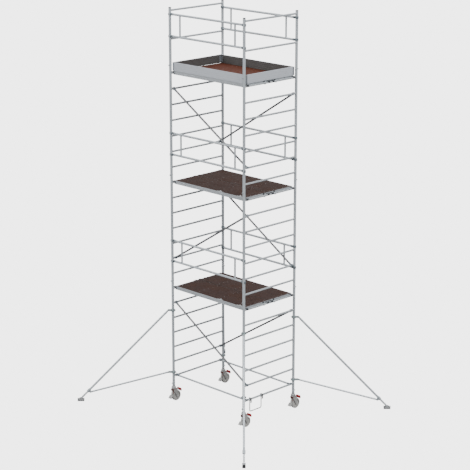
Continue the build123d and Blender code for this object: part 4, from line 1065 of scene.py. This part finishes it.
def add_castor_details(corner):
    """Dust seal, hub bolts, and ribs on both pads of the brake."""
    x, y = CORNERS[corner]
    hub = joint_place("wheel_roll_" + corner)
    plated = zinc_plate("hub_plate_" + corner, shade(0.44, 0.44, 0.44))
    bolt = hex_bolt("hub_bolt_pattern_" + corner, 0.0042, 0.0036)
    for side in (-1, 1):
        turn = (0.0, side * math.pi / 2, 0.0)
        centre = (hub.x + side * 0.0058, hub.y, hub.z)
        name = "hub_bolts_%s_%s" % (corner, "right" if side > 0 else "left")
        place_ring(name, bolt, plated, centre, 0.034, 3, turn, "wheel_" + corner)
    rubber = moulded("seal_rubber_" + corner, shade(0.02, 0.02, 0.021), shade(0.04, 0.04, 0.042))
    lug = rib_bar("seal_pattern_" + corner, 0.0030, 0.0075, 0.0022)
    place_ring("head_grip_" + corner, lug, rubber, (x, y, 0.268), 0.0430, 30, NO_TURN, "castor_" + corner)
    paint = moulded("pad_red_" + corner, shade(0.28, 0.004, 0.007), shade(0.40, 0.008, 0.010))
    ridge = rib_bar("release_pattern_" + corner, 0.066, 0.0032, 0.0016)
    top, step, turn = slope_row((0.1530, 0.2270), (0.1650, 0.2133), 3)
    place_row("release_ribs_" + corner, ridge, paint, (x, y + top[0], top[1]), (0, *step), 3, turn,
              "brake_" + corner)
    grey = moulded("pad_grey_" + corner, shade(0.22, 0.22, 0.215), shade(0.33, 0.33, 0.32))
    ridge = rib_bar("pedal_pattern_" + corner, 0.068, 0.0036, 0.0018)
    top, step, turn = slope_row((-0.0720, 0.1205), (-0.1020, 0.0845), 5)
    place_row("pedal_ribs_" + corner, ridge, grey, (x, y + top[0], top[1]), (0, *step), 5, turn,
              "brake_" + corner)


def slope_row(first, last, count):
    """Start, step and turn of ridges on a face that runs from first to last in the YZ plane."""
    along = Vector((last[0] - first[0], last[1] - first[1]))
    step = along / (count - 1)
    tilt = math.atan2(along.y, along.x) + (0.0 if along.x > 0 else math.pi)
    return first, (step.x, step.y), (tilt, 0.0, 0.0)


def add_outrigger_details(corner):
    """Wing nuts on the couplers, ribs along the foot's shoe and bolts in its channel."""
    x, y = CORNERS[corner]
    heading = math.radians(HEADINGS[corner])
    spin = Matrix.Rotation(heading, 3, "Z")
    plated = zinc_plate("clamp_plate_" + corner, shade(0.50, 0.51, 0.52))
    points = []
    for z in (FIRST_RUNG + 5 * PITCH - 0.139, FIRST_RUNG + 0.076):
        place = spin @ Vector((-TUBE_R - 0.014, 0.0215, 0)) + Vector((x, y, z))
        turn = (spin @ Matrix.Rotation(-math.pi / 2, 3, "X")).to_euler()
        points.append((place, tuple(turn)))
    nut = wing_nut("wing_nut_pattern_" + corner)
    place_all("wing_nuts_" + corner, nut, plated, points, "outrigger_" + corner)
    foot = joint_place("outrigger_foot_tilt_" + corner)
    black = moulded("lug_rubber_" + corner, shade(0.014, 0.014, 0.015), shade(0.032, 0.032, 0.033), 0.7)
    lug = rib_bar("lug_pattern_" + corner, 0.0046, 0.0042, 0.0022)
    lug.data.transform(Matrix.Rotation(math.pi / 2, 4, "Y") @ Matrix.Scale(1.9, 4, (1, 0, 0)))
    points = []
    for side in (-1, 1):
        for k in range(12):
            place = spin @ Vector((-0.052 + 0.00945 * k, side * 0.0298, 0.0072)) + Vector((foot.x, foot.y, 0))
            points.append((place, (0.0, 0.0, heading + side * math.pi / 2)))
    place_all("foot_lugs_" + corner, lug, black, points, "outrigger_pad_" + corner)
    bolt = hex_bolt("foot_bolt_pattern_" + corner, 0.0050, 0.0042)
    points = [(spin @ Vector((along, 0, 0.018)) + Vector((foot.x, foot.y, 0)), (0.0, 0.0, heading))
              for along in (-0.038, 0.038)]
    place_all("foot_bolts_" + corner, bolt, plated, points, "outrigger_pad_" + corner)


def clear_patterns():
    """Remove the objects that were only copied from."""
    for thing in list(bpy.data.objects):
        if "_pattern" in thing.name:
            bpy.data.objects.remove(thing)


def main():
    """Set the camera and the light, then finish the nodes and add the small pieces."""
    add_camera()
    add_studio()
    finish_tower()
    finish_corners()
    add_weld_beads()
    add_deck_details()
    add_claw_pins()
    for corner in CORNERS:
        add_castor_details(corner)
        add_outrigger_details(corner)
    clear_patterns()


main()
